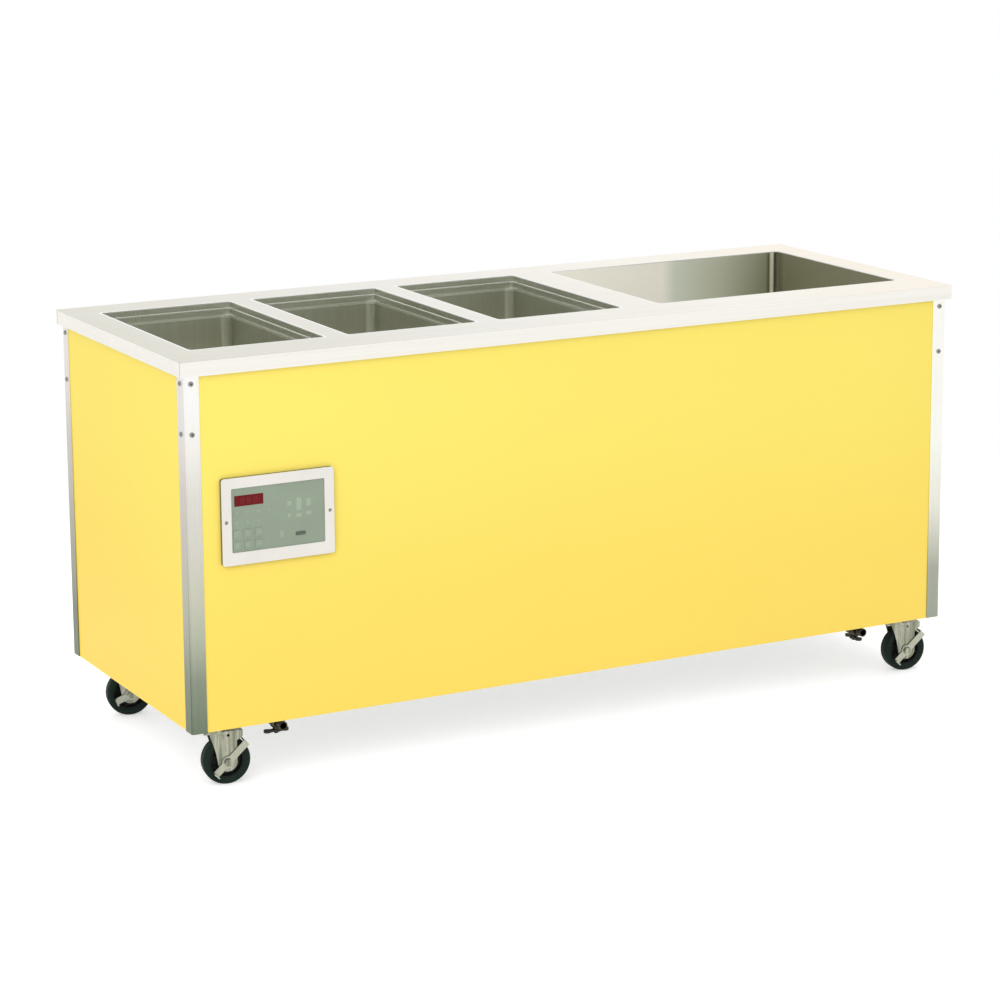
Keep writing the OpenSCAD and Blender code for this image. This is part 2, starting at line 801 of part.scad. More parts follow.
// Cooling unit
module cooling_unit_base() {
    color("#55585a")
        translate([unit_x, unit_y, floor_z])
            difference() {
                translate([0, 0, unit_h / 2])
                    cube([unit_w, unit_d, unit_h], center = true);
                translate([0, 0, unit_h / 2 - 2])
                    cube([unit_w - 4, unit_d + 2 * eps, unit_h], center = true);
            }
}
module compressor() {
    dome = 34;
    foot_h = 12;
    foot_w = 28;
    foot_t = 4;
    foot_out = 22;
    cup_r = 9;
    box_low = 70;
    box_high = 130;
    box_w = 56;
    box_out = 14;
    color("#17191a")
        translate([compressor_x, compressor_y, unit_top]) {
            rod_z([0, 0, foot_h], compressor_r, compressor_h - foot_h - dome);
            translate([0, 0, compressor_h - dome])
                rotate_extrude()
                    union() {
                        square([compressor_r - dome, dome]);
                        intersection() {
                            translate([compressor_r - dome, 0])
                                circle(r = dome);
                            square([compressor_r, dome]);
                        }
                    }
            for (a = [45 : 90 : 315])
                rotate([0, 0, a]) {
                    block([0, -foot_w / 2, foot_h], [compressor_r + foot_out, foot_w / 2, foot_h + foot_t]);
                    rod_z([compressor_r + foot_out - cup_r - 3, 0, 0], cup_r, foot_h + 1);
                }
            block([-compressor_r - box_out, -box_w / 2, box_low],
                [-compressor_r / 2, box_w / 2, box_high]);
        }
}
module condenser_coil() {
    fin_count = 16;
    fin_pitch = (coil_x - 40) / (fin_count - 1);
    color("#3a3d3d")
        translate([unit_x, coil_back - coil_y, coil_z]) {
            for (i = [0 : fin_count - 1])
                block([-coil_x / 2 + 20 + i * fin_pitch - 0.5, 0, 6],
                    [-coil_x / 2 + 20 + i * fin_pitch + 0.5, coil_y, coil_h - 6]);
            for (s = [-1, 1])
                block([s * coil_x / 2 - 1, 0, 0], [s * coil_x / 2 + 1, coil_y, coil_h]);
            for (k = [0 : 5])
                rod_x([-coil_x / 2 - 1, coil_y / 2, coil_h * (k + 0.5) / 6], line_r, coil_x + 2);
        }
}
module fan_shroud() {
    half = coil_x / 2;
    sheet_y = coil_back - coil_y - 4;
    color("#4b4e50")
        difference() {
            union() {
                block([unit_x - half - 3, sheet_y, coil_z],
                    [unit_x + half + 3, sheet_y + 2, coil_z + coil_h]);
                for (s = [-1, 1])
                    block([unit_x + s * (half + 2) - 1, sheet_y, coil_z],
                        [unit_x + s * (half + 2) + 1, coil_back - 8, coil_z + 20]);
                rod_y([unit_x, fan_y - 6, coil_mid_z], fan_r + 6, sheet_y + 1 - fan_y + 6);
            }
            rod_y([unit_x, fan_y - 6 - eps, coil_mid_z], fan_r + 4, sheet_y + 3 - fan_y + 6);
        }
}
module fan_motor() {
    back = fan_y - motor_gap;
    color("#2a2c2e") {
        rod_y([unit_x, back - motor_l, coil_mid_z], motor_r, motor_l);
        rod_y([unit_x, back - 1, coil_mid_z], shaft_r, 34);
        block([unit_x - 25, back - motor_l + 10, unit_top],
            [unit_x + 25, back - 10, coil_mid_z - motor_r + 6]);
    }
}
module fan_blade() {
    hub_h = 14;
    blade_l = fan_r - blade_root;
    color("#3f86b5")
        translate([unit_x, fan_y - hub_h / 2, coil_mid_z])
            rotate([-90, 0, 0])
                difference() {
                    union() {
                        cylinder(r = 20, h = hub_h);
                        for (k = [0 : fan_blades - 1])
                            rotate([0, 0, k * 360 / fan_blades])
                                translate([blade_root + blade_l / 2, 0, hub_h / 2])
                                    rotate([18, 0, 0])
                                        cube([blade_l, blade_chord, blade_t], center = true);
                    }
                    rod_z([0, 0, -eps], shaft_r + run_gap, hub_h + 2 * eps);
                }
}
// The evaporator's coil under the cold pan, with the suction and liquid tubes brazed to its ends
module refrigerant_tubing() {
    coil_level = cold_floor - basin_t - seat_gap - line_r;
    compressor_top = unit_top + compressor_h;
    suction_z = compressor_top + 40;
    liquid_z = compressor_top + 70;
    condenser_y = coil_back - coil_y / 2;
    color("#b5703c") {
        translate([coil_centre_x, basin_y + coil_shift, coil_level])
            serpentine(coil_legs, coil_run, coil_pitch, line_r);
        elbow([suction_x, line_y, coil_level], line_r);
        rod_z([suction_x, line_y, suction_z], line_r, coil_level - suction_z);
        elbow([suction_x, line_y, suction_z], elbow_r);
        run_x([suction_x, line_y, suction_z], compressor_x);
        elbow([compressor_x, line_y, suction_z], elbow_r);
        rod_y([compressor_x, line_y, suction_z], line_r, compressor_y - line_y);
        elbow([compressor_x, compressor_y, suction_z], elbow_r);
        rod_z([compressor_x, compressor_y, compressor_top], line_r, suction_z - compressor_top);
        elbow([liquid_x, line_y, coil_level], line_r);
        rod_z([liquid_x, line_y, liquid_z], line_r, coil_level - liquid_z);
        elbow([liquid_x, line_y, liquid_z], elbow_r);
        run_x([liquid_x, line_y, liquid_z], unit_x);
        elbow([unit_x, line_y, liquid_z], elbow_r);
        rod_y([unit_x, line_y, liquid_z], line_r, condenser_y - line_y);
        elbow([unit_x, condenser_y, liquid_z], elbow_r);
        rod_z([unit_x, condenser_y, coil_z + coil_h], line_r, liquid_z - coil_z - coil_h);
    }
}
// A brazed elbow's round corner
module elbow(p, r) {
    translate(p)
        sphere(r = r);
}
// A tube along X from a point to another place on X, either way
module run_x(p, to_x) {
    rod_x([min(p[0], to_x), p[1], p[2]], line_r, abs(to_x - p[0]));
}
module rear_grille() {
    wall = 2;
    pitch = (grille_z - 2 * wall) / slat_count;
    color("#c9ccc6")
        translate([unit_x, 0, coil_mid_z]) {
            difference() {
                translate([0, panel_y + 1, 0])
                    cube([grille_x + 30, 2, grille_z + 30], center = true);
                cube([grille_x - 2 * wall, 4 * half_w, grille_z - 2 * wall], center = true);
            }
            difference() {
                translate([0, panel_y - 6 + 1, 0])
                    cube([grille_x, 12, grille_z], center = true);
                cube([grille_x - 2 * wall, 4 * half_w, grille_z - 2 * wall], center = true);
            }
            for (k = [0 : slat_count - 1])
                translate([0, panel_y - 4, (k + 0.5 - slat_count / 2) * pitch])
                    rotate([-40, 0, 0])
                        cube([grille_x - wall, 14, 1.2], center = true);
        }
}

// Controls: inside at_control, X is to the right, Y is up and Z points out of the front panel's face
module at_control() {
    translate([control_x, -panel_y, control_z])
        rotate([90, 0, 0])
            children();
}
module bezel_screw_spots() {
    for (s = [-1, 1])
        translate([s * (bezel_x + pocket_x) / 4, 0, 0])
            children();
}
module control_bezel() {
    color("#e2dccb")
        at_control()
            difference() {
                linear_extrude(bezel_d)
                    rounded_rect(bezel_x, bezel_y, bezel_r);
                translate([0, overlay_rise, -eps])
                    linear_extrude(overlay_front + eps)
                        rounded_rect(pocket_x, pocket_y, 3);
                translate([0, overlay_rise, 0])
                    linear_extrude(bezel_d + eps)
                        rounded_rect(overlay_x, overlay_y, 3);
                bezel_screw_spots() {
                    rod_z([0, 0, -eps], bezel_screw_r + hole_gap, bezel_d + 2 * eps);
                    rod_z([0, 0, bezel_d - bezel_head_h], bezel_head_r + hole_gap, 2 * eps);
                }
            }
}
module key_outline(w, h) {
    rounded_rect(w, h, 2);
}
module control_overlay() {
    slack = 2 * seat_gap;
    color("#93a08d")
        at_control()
            difference() {
                translate([0, overlay_rise, overlay_back])
                    linear_extrude(overlay_t)
                        rounded_rect(pocket_x - slack, pocket_y - slack, 3);
                translate([display_at[0], display_at[1], 0])
                    linear_extrude(bezel_d)
                        square([display_x + slack, display_y + slack], center = true);
                for (k = KEYS)
                    translate([k[1], k[2], 0])
                        linear_extrude(bezel_d)
                            key_outline(key_w + slack, key_w + slack);
                translate([power_key[1], power_key[2], 0])
                    linear_extrude(bezel_d)
                        key_outline(power_key_x + slack, power_key_y + slack);
                for (p = lens_spots)
                    rod_z([p[0], p[1], 0], lens_r + hole_gap, bezel_d);
            }
}
module display_window() {
    color("#7a1620")
        at_control()
            translate([display_at[0], display_at[1], overlay_back])
                linear_extrude(overlay_t + 0.2)
                    square([display_x, display_y], center = true);
}
module indicator_lenses() {
    color("#c7d3c0")
        at_control()
            for (p = lens_spots)
                rod_z([p[0], p[1], overlay_back], lens_r, overlay_t + 0.3);
}
module control_key(x, y, w, h, shade) {
    flange_t = 0.8;
    color(shade)
        at_control()
            translate([x, y, 0]) {
                translate([0, 0, overlay_back - hole_gap - flange_t])
                    linear_extrude(flange_t)
                        key_outline(w + 2 * key_flange, h + 2 * key_flange);
                translate([0, 0, overlay_back - hole_gap - flange_t / 2])
                    linear_extrude(overlay_t + key_rise + hole_gap + flange_t / 2)
                        key_outline(w, h);
            }
}
module power_key_cap() {
    control_key(power_key[1], power_key[2], power_key_x, power_key_y, "#3a423c");
}
// A printed board on the control box's rim, with its display, switches, lamps and relays
module control_board() {
    slack = 2 * seat_gap;
    key_back = overlay_back - hole_gap - 0.8;
    switch_top = key_back - key_travel - seat_gap;
    color("#2f6b3c")
        at_control() {
            translate([0, overlay_rise, 0])
                linear_extrude(board_t)
                    rounded_rect(pocket_x - slack, pocket_y - slack, 3);
            translate([display_at[0], display_at[1], board_t - eps / 2])
                linear_extrude(overlay_back - board_t + eps / 2)
                    square([display_x - 2, display_y - 2], center = true);
            for (k = concat(KEYS, [power_key]))
                rod_z([k[1], k[2], board_t - eps / 2], switch_r, switch_top - board_t + eps / 2);
            for (p = lens_spots)
                rod_z([p[0], p[1], board_t - eps / 2], lens_r - 0.5, overlay_back - board_t + eps / 2);
            for (x = [-relay_pitch, 0, relay_pitch])
                block([x - relay_x / 2, -relay_y / 2, -relay_h], [x + relay_x / 2, relay_y / 2, eps / 2]);
        }
}
module control_box() {
    color("#b7bab8")
        at_control()
            translate([0, overlay_rise, -box_depth])
                difference() {
                    linear_extrude(box_depth)
                        rounded_rect(box_x, box_y, 3);
                    translate([0, 0, box_wall])
                        linear_extrude(box_depth)
                            rounded_rect(box_x - 2 * box_wall, box_y - 2 * box_wall, 2);
                }
}
module bezel_screws() {
    color("#8d9090")
        at_control()
            bezel_screw_spots()
                translate([0, 0, bezel_d - bezel_head_h])
                    pan_screw(bezel_screw_r, bezel_head_r, bezel_head_h - hole_gap, bezel_d + panel_t);
}
// Gland in the base pan where a power cord comes out, pointing down
module cord_gland() {
    color("#222322")
        translate([gland_x, gland_y, 0])
            difference() {
                union() {
                    rod_z([0, 0, cabinet_z - gland_drop], gland_r, gland_l);
                    rod_z([0, 0, cabinet_z - gland_nut_h], gland_r + 5, gland_nut_h);
                    rod_z([0, 0, cabinet_z - gland_drop], gland_r + 3, gland_drop / 2);
                    translate([0, 0, floor_z])
                        cylinder(r = gland_r + 6, h = gland_nut_h, $fn = 6);
                }
                rod_z([0, 0, cabinet_z - gland_drop - eps], gland_bore_r, gland_l + 2 * eps);
            }
}

// Casters
function caster_sx(i) = i % 2 == 0 ? -1 : 1;
function caster_sy(i) = i < 2 ? -1 : 1;
module at_caster(i) {
    translate([caster_sx(i) * caster_x, caster_sy(i) * caster_y, 0])
        rotate([0, 0, caster_turn])
            children();
}
module caster_bolt_spots() {
    for (i = [0 : 3], bx = [-1, 1], by = [-1, 1])
        translate([
            caster_sx(i) * caster_x + bx * plate_bolt_x / 2,
            caster_sy(i) * caster_y + by * plate_bolt_y / 2,
            0
        ])
            children();
}
module caster_plates() {
    plate_z = cabinet_z - plate_t;
    color("#b4b8ae")
        difference() {
            for (i = [0 : 3])
                translate([caster_sx(i) * caster_x, caster_sy(i) * caster_y, 0]) {
                    rounded_block(plate_x, plate_y, 6, plate_z, cabinet_z);
                    rod_z([0, 0, plate_z - race_h], race_r, race_h + eps);
                    rod_z([0, 0, crown_z - 3], kingpin_r, plate_z - crown_z + 4);
                    rod_z([0, 0, crown_z - side_gap - 4], kingpin_r + 5, 4);
                }
            caster_bolt_spots()
                rod_z([0, 0, plate_z - eps], bolt_r + hole_gap, plate_t + 2 * eps);
        }
}
module caster_bolts() {
    plate_z = cabinet_z - plate_t;
    nut_z = floor_z + 2 * base_t;
    color("#8d9090")
        caster_bolt_spots() {
            rod_z([0, 0, plate_z - 1], bolt_r, nut_z + 8 - plate_z);
            translate([0, 0, plate_z - nut_h])
                cylinder(r = nut_r, h = nut_h, $fn = 6);
            translate([0, 0, nut_z])
                cylinder(r = nut_r, h = nut_h, $fn = 6);
        }
}
// Side outline of a fork's leg, with X from the kingpin to the axle and Y up
module leg_outline() {
    polygon([
        [caster_trail - leg_back, crown_z + crown_t],
        [caster_trail - leg_back, crown_z + crown_t - leg_corner],
        [caster_trail - leg_back * 0.7, axle_z + leg_end_r + 2],
        [caster_trail - leg_end_r, axle_z],
        [caster_trail + leg_end_r, axle_z],
        [caster_trail + leg_neck, axle_z + 2 * leg_end_r],
        [caster_trail + leg_neck, crown_z - 2 * leg_corner],
        [crown_front, crown_z - leg_corner],
        [crown_front, crown_z + crown_t],
    ]);
    translate([caster_trail, axle_z])
        circle(r = leg_end_r);
}
module caster_fork(i) {
    plate_z = cabinet_z - plate_t;
    color("#a3a893")
        at_caster(i) {
            difference() {
                union() {
                    for (s = [-1, 1])
                        translate([0, s * (leg_in + leg_t / 2) + leg_t / 2, 0])
                            rotate([90, 0, 0])
                                linear_extrude(leg_t)
                                    leg_outline();
                    for (s = [-1, 1])
                        translate([caster_trail - rib_w * 0.7, s * (leg_in + leg_t), (crown_z + axle_z) / 2 + 6])
                            cube([rib_w, 2 * rib_t, crown_z - axle_z - 2 * leg_corner], center = true);
                    block([-crown_back, -leg_in - leg_t, crown_z],
                        [crown_front, leg_in + leg_t, crown_z + crown_t]);
                    rod_z([0, 0, crown_z], race_r - 1, plate_z - race_h - side_gap - crown_z);
                }
                rod_z([0, 0, crown_z - eps], kingpin_r + run_gap, 40);
                rod_y([caster_trail, -2 * leg_in, axle_z], axle_r, 4 * leg_in);
                rod_y([caster_trail + 2, -2 * leg_in, crown_z - 5], 3, 4 * leg_in);
            }
            rod_y([caster_trail, -leg_in - leg_t - 10, axle_z], axle_r, 2 * (leg_in + leg_t) + 16);
            translate([caster_trail, leg_in + leg_t, axle_z])
                rotate([-90, 0, 0])
                    cylinder(r = 8.5, h = 7, $fn = 6);
            translate([caster_trail, -leg_in - leg_t - brake_t - 2 * side_gap, axle_z])
                rotate([90, 0, 0])
                    cylinder(r = 8.5, h = 6, $fn = 6);
        }
}
module caster_wheel(i) {
    rim_r = wheel_d / 2 - tyre_t;
    half = wheel_w / 2;
    soft = tyre_t / 2;
    color("#121915")
        at_caster(i)
            translate([caster_trail, 0, axle_z])
                rotate([90, 0, 0]) {
                    difference() {
                        union() {
                            translate([0, 0, -half + 3])
                                cylinder(r = rim_r, h = wheel_w - 6);
                            translate([0, 0, -leg_in + side_gap])
                                cylinder(r = 15, h = 2 * (leg_in - side_gap));
                        }
                        for (s = [-1, 1])
                            translate([0, 0, s * (half + 3) - 5])
                                difference() {
                                    cylinder(r = rim_r - 5, h = 10);
                                    translate([0, 0, -eps])
                                        cylinder(r = 20, h = 12);
                                }
                        translate([0, 0, -wheel_w])
                            cylinder(r = axle_r + run_gap, h = 2 * wheel_w);
                    }
                    rotate_extrude()
                        union() {
                            translate([rim_r, -half])
                                square([wheel_d / 2 - soft - rim_r, wheel_w]);
                            translate([rim_r, -half + soft])
                                square([wheel_d / 2 - rim_r, wheel_w - 2 * soft]);
                            for (s = [-1, 1])
                                translate([wheel_d / 2 - soft, s * (half - soft)])
                                    circle(r = soft);
                        }
                }
}
// A side brake on the axle: a lever with a toe plate at its upper end that reaches over the tread
module caster_brake(i) {
    bar_high = 15;
    up = i == 2 ? brake_part_up : brake_up;
    face = -leg_in - leg_t - side_gap;
    pad_in = wheel_d / 2 + brake_reach;
    tail = 38;
    color("#c2c6bd")
        at_caster(i)
            translate([caster_trail, face, axle_z])
                rotate([90, 0, 0])
                    difference() {
                        union() {
                            cylinder(r = 13, h = brake_t);
                            rotate([0, 0, up]) {
                                block([-tail, -bar_high / 2, 0], [pad_in + 3, bar_high / 2, brake_t]);
                                block([pad_in, -bar_high / 2, face - 6],
                                    [pad_in + 3, bar_high / 2, brake_t]);
                                block([-tail, -bar_high / 2, 0], [3 - tail, bar_high / 2, 14]);
                            }
                        }
                        rod_z([0, 0, -eps], axle_r + run_gap, brake_t + 2 * eps);
                    }
}

countertop();
top_frame();
uprights();
base_pan();
corner_posts();
front_panel();
rear_panel();
side_panel(-1);  // left_panel
side_panel(1);  // right_panel
post_screws();
hot_well(0);  // hot_well_1
hot_well(1);  // hot_well_2
hot_well(2);  // hot_well_3
well_insulation();
heating_elements();
temperature_probes();
hot_drain_pipe();
cold_drain_pipe();
drain_valves();
valve_handle(well_x(0), 0);  // hot_valve_handle
valve_handle(cold_drain_x, 90);  // cold_valve_handle
cold_pan();
cold_pan_insulation();
cooling_unit_base();
compressor();
condenser_coil();
fan_shroud();
fan_motor();
fan_blade();
refrigerant_tubing();
rear_grille();
control_bezel();
control_overlay();
display_window();
indicator_lenses();
control_board();
control_box();
bezel_screws();
cord_gland();
for (k = KEYS)
    control_key(k[1], k[2], key_w, key_w, "#a9b5a2");
power_key_cap();  // key_power
caster_plates();
caster_bolts();
for (i = [0 : 3])
    caster_fork(i);
for (i = [0 : 3])
    caster_wheel(i);
for (i = [0 : 3])
    caster_brake(i);
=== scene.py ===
"""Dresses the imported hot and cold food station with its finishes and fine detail, and sets a plain stage."""
import json
import math

import bmesh
import bpy
from bpy.props import FloatProperty, FloatVectorProperty, IntProperty, PointerProperty
from bpy.types import Operator, Panel, PropertyGroup
from mathutils import Matrix, Vector


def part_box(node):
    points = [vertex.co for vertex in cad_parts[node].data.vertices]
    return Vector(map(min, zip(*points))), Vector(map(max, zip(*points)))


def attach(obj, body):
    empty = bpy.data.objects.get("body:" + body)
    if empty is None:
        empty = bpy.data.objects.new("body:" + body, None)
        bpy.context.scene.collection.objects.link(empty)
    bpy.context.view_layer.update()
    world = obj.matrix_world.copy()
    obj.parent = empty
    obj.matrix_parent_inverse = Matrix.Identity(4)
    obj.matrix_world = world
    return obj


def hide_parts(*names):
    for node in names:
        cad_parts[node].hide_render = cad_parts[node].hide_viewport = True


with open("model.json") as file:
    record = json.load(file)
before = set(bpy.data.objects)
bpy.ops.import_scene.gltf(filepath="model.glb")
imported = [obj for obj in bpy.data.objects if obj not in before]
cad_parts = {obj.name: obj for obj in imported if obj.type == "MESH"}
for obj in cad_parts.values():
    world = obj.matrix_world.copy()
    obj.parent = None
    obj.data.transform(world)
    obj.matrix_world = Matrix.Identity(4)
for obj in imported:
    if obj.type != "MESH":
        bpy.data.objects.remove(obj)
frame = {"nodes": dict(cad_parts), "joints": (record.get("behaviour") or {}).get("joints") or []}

bl_info = {
    "name": "Hot and cold food station",
    "version": (1, 0, 0),
    "blender": (4, 5, 0),
    "location": "3D View > Sidebar > Station",
    "description": "Finishes and fine detail of a mobile hot and cold food station",
    "category": "Object",
}

NODES = frame["nodes"]
JOINTS = {joint["name"]: joint for joint in frame["joints"]}
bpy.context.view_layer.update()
CORNERS = ("front_left", "front_right", "rear_left", "rear_right")
WELLS = ("hot_well_1", "hot_well_2", "hot_well_3")
MM = 0.001
WHITE = (1.0, 1.0, 1.0)

# The colour sockets of a mix node
MIX_FIRST, MIX_SECOND, MIX_RESULT = 6, 7, 2

# The smallest angles, in degrees, at which a CAD node's edges are rounded and edges are kept crisp
ROUNDED_ANGLE, CRISP_NODE_ANGLE, CRISP_PIECE_ANGLE = 40, 50, 35
WELD_GAP = 0.02 * MM
FLAT_ANGLE = 0.6

# How far a raised print reaches into the face that it lies on
PRINT_ROOT = 0.1 * MM


# Tints along a piece, most of them painted light and shade: each stop is a place from 0 to 1 and the tint
# there

# Painted light on the countertop's upper face: darker at the left, lighter at the right
COUNTER_LIGHT_ALONG = (
    (0.0, (0.76, 0.76, 0.71)),
    (0.35, (0.86, 0.86, 0.85)),
    (0.7, (0.95, 0.94, 0.92)),
    (1.0, (0.99, 0.94, 0.88)),
)
# Painted reflection on the cold pan's walls: light at the left, dark at the right
PAN_REFLECTION_ALONG = (
    (0.0, WHITE),
    (0.49, (0.97, 0.97, 0.97)),
    (0.54, (0.70, 0.77, 0.72)),
    (0.74, (0.54, 0.57, 0.49)),
    (0.93, (0.29, 0.31, 0.22)),
    (0.975, (0.20, 0.20, 0.135)),
)
# Painted highlight in the bend at the back of the cold pan, between two dark lines of painted shade
PAN_BEND_HIGHLIGHT = (
    (0.925, WHITE),
    (0.938, (0.30, 0.30, 0.26)),
    (0.946, (3.2, 3.2, 3.6)),
    (0.955, (3.2, 3.2, 3.6)),
    (0.961, (0.20, 0.20, 0.20)),
    (0.967, (0.20, 0.20, 0.20)),
    (0.975, WHITE),
)
# Painted shade on the panels: darker and warmer towards the floor
PANEL_SHADE_UP = (
    (0.0, (1.0, 0.90, 0.79)),
    (0.3, (1.0, 0.92, 0.82)),
    (0.62, (1.0, 0.985, 0.96)),
    (0.8, WHITE),
)
# Painted reflection of the darker floor on the left posts: dark low down, light at the top
LEFT_POST_REFLECTION_UP = (
    (0.0, (0.135, 0.175, 0.130)),
    (0.15, (0.215, 0.250, 0.205)),
    (0.27, (0.40, 0.43, 0.355)),
    (0.38, (0.53, 0.54, 0.46)),
    (0.52, (0.66, 0.65, 0.60)),
    (0.66, (0.75, 0.74, 0.70)),
    (0.80, (0.93, 0.92, 0.90)),
    (0.93, WHITE),
)
# Painted reflection of the darker floor on the right posts: dark low down, light at the top
RIGHT_POST_REFLECTION_UP = (
    (0.0, (0.29, 0.32, 0.28)),
    (0.16, (0.36, 0.38, 0.33)),
    (0.36, (0.80, 0.81, 0.73)),
    (0.56, (0.97, 0.98, 0.93)),
    (0.8, (1.0, 1.0, 0.97)),
)
FORK_STREAKS = (
    (0.38, (0.62, 0.64, 0.56)),
    (0.5, (0.95, 0.96, 0.92)),
    (0.62, (1.25, 1.25, 1.22)),
)


# Finishes

class Finish:
    """One material: a shader, and textures that are laid out in the object's own frame."""

    def __init__(self, name, colour, roughness, metallic=0.0, specular=0.5):
        self.material = bpy.data.materials.new(name)
        self.material.use_nodes = True
        self.tree = self.material.node_tree
        self.shader = self.tree.nodes["Principled BSDF"]
        self.shader.inputs["Base Color"].default_value = (*colour, 1.0)
        self.shader.inputs["Roughness"].default_value = roughness
        self.shader.inputs["Metallic"].default_value = metallic
        self.shader.inputs["Specular IOR Level"].default_value = specular
        self.place = self.tree.nodes.new("ShaderNodeTexCoord").outputs["Object"]

    def link(self, source, target):
        self.tree.links.new(source, target)

    def feed(self, socket, value):
        """Gives a socket a number, a colour or what comes out of another socket."""
        if isinstance(value, (int, float)):
            socket.default_value = value
        elif isinstance(value, tuple):
            socket.default_value = (*value, 1.0)
        else:
            self.link(value, socket)

    def stretched(self, scale):
        """The position, scaled on each axis: a large scale makes fine detail."""
        mapping = self.tree.nodes.new("ShaderNodeMapping")
        mapping.inputs["Scale"].default_value = scale
        self.link(self.place, mapping.inputs["Vector"])
        return mapping.outputs["Vector"]

    def noise(self, scale, detail, rough=0.5):
        """Noise of that scale: one number, or one for each axis."""
        texture = self.tree.nodes.new("ShaderNodeTexNoise")
        texture.inputs["Scale"].default_value = 1.0
        texture.inputs["Detail"].default_value = detail
        texture.inputs["Roughness"].default_value = rough
        scale = scale if isinstance(scale, tuple) else (scale, scale, scale)
        self.link(self.stretched(scale), texture.inputs["Vector"])
        return texture.outputs["Fac"]

    def spread(self, value, low, high, start=0.3, end=0.7):
        """The value's part from start to end, spread to the range from low to high."""
        ranged = self.tree.nodes.new("ShaderNodeMapRange")
        ranged.inputs["From Min"].default_value = start
        ranged.inputs["From Max"].default_value = end
        ranged.inputs["To Min"].default_value = low
        ranged.inputs["To Max"].default_value = high
        self.link(value, ranged.inputs["Value"])
        return ranged.outputs["Result"]

    def math(self, kind, *values):
        step = self.tree.nodes.new("ShaderNodeMath")
        step.operation = kind
        for socket, value in zip(step.inputs, values):
            self.feed(socket, value)
        return step.outputs["Value"]

    def axis(self, name):
        parts = self.tree.nodes.new("ShaderNodeSeparateXYZ")
        self.link(self.place, parts.inputs["Vector"])
        return parts.outputs[name]

    def off_middle(self, name):
        """The distance from the middle of the station along an axis."""
        return self.math("ABSOLUTE", self.axis(name))

    def along(self, name, low, high):
        """The place on an axis, as 0 at low and 1 at high."""
        return self.spread(self.axis(name), 0.0, 1.0, low, high)

    def above(self, value, limit):
        """1 where the value is over the limit, and 0 elsewhere."""
        return self.math("GREATER_THAN", value, limit)

    def either(self, first, second):
        """The larger of two masks; the first can be missing."""
        return second if first is None else self.math("MAXIMUM", first, second)

    def mixed(self, amount, first, second, blend="MIX"):
        """The first colour where amount is 0 and the blend with the second where it is 1."""
        mix = self.tree.nodes.new("ShaderNodeMix")
        mix.data_type = "RGBA"
        mix.blend_type = blend
        self.feed(mix.inputs["Factor"], amount)
        self.feed(mix.inputs[MIX_FIRST], first)
        self.feed(mix.inputs[MIX_SECOND], second)
        return mix.outputs[MIX_RESULT]

    def ramp(self, value, stops):
        """A colour that runs through the stops, each a place from 0 to 1 and a colour."""
        node = self.tree.nodes.new("ShaderNodeValToRGB")
        points = node.color_ramp.elements
        while len(points) < len(stops):
            points.new(0.5)
        for point, (place, colour) in zip(points, stops):
            point.position = place
            point.color = (*colour, 1.0)
        self.link(value, node.inputs["Fac"])
        return node.outputs["Color"]

    @property
    def base(self):
        """What the base colour comes from so far."""
        return self.shader.inputs["Base Color"].links[0].from_socket

    def tinted(self, tint):
        """Multiplies the base colour by a tint that changes over the piece."""
        self.colour(self.mixed(1.0, self.base, tint, "MULTIPLY"))

    def painted(self, mask, colour):
        """Puts a plain colour over the base colour where the mask is 1."""
        self.colour(self.mixed(mask, self.base, colour))

    def colour(self, source):
        self.link(source, self.shader.inputs["Base Color"])

    def rough(self, source):
        self.link(source, self.shader.inputs["Roughness"])

    def bump(self, height, strength, depth):
        bump = self.tree.nodes.new("ShaderNodeBump")
        bump.inputs["Strength"].default_value = strength
        bump.inputs["Distance"].default_value = depth
        self.link(height, bump.inputs["Height"])
        self.link(bump.outputs["Normal"], self.shader.inputs["Normal"])


def shade(colour, factor):
    """The colour made darker or lighter."""
    return tuple(min(1.0, max(0.0, channel * factor)) for channel in colour)


def brushed(name, colour, grain, roughness=(0.28, 0.42), contrast=0.05, metallic=1.0, relief=0.10):
    """Brushed metal. grain is the axis that the fine lines run along."""
    smudge = 0.04
    finish = Finish(name, colour, roughness[0], metallic=metallic)
    fine = tuple(6.0 if axis == grain else 900.0 for axis in "XYZ")
    coarse = tuple(1.5 if axis == grain else 140.0 for axis in "XYZ")
    lines = finish.noise(fine, detail=3.0, rough=0.6)
    bands = finish.noise(coarse, detail=2.0)
    cloud = finish.noise(3.0, detail=3.0)
    dull, bright = shade(colour, 1.0 - contrast), shade(colour, 1.0 + contrast)
    tone = finish.mixed(finish.spread(bands, 0.0, 1.0), dull, bright)
    finish.colour(finish.mixed(finish.spread(cloud, 0.0, smudge * 4), tone, shade(colour, 0.90)))
    streaks = finish.spread(lines, *roughness)
    finish.rough(finish.math("ADD", streaks, finish.spread(cloud, -smudge, smudge)))
    finish.bump(lines, relief, 0.2 * MM)
    return finish


def powder_coat(name, colour, roughness=0.36):
    """Smooth sprayed paint with a faint orange peel and slow changes of tone."""
    finish = Finish(name, colour, roughness, specular=0.35)
    cloud = finish.noise(1.3, detail=2.0)
    speck = finish.noise(700.0, detail=2.0)
    tone = finish.mixed(finish.spread(cloud, 0.0, 1.0), shade(colour, 0.985), shade(colour, 1.01))
    finish.colour(finish.mixed(finish.spread(speck, 0.0, 0.04), tone, shade(colour, 0.9)))
    finish.rough(finish.spread(speck, roughness - 0.03, roughness + 0.04))
    finish.bump(speck, 0.06, 0.3 * MM)
    return finish


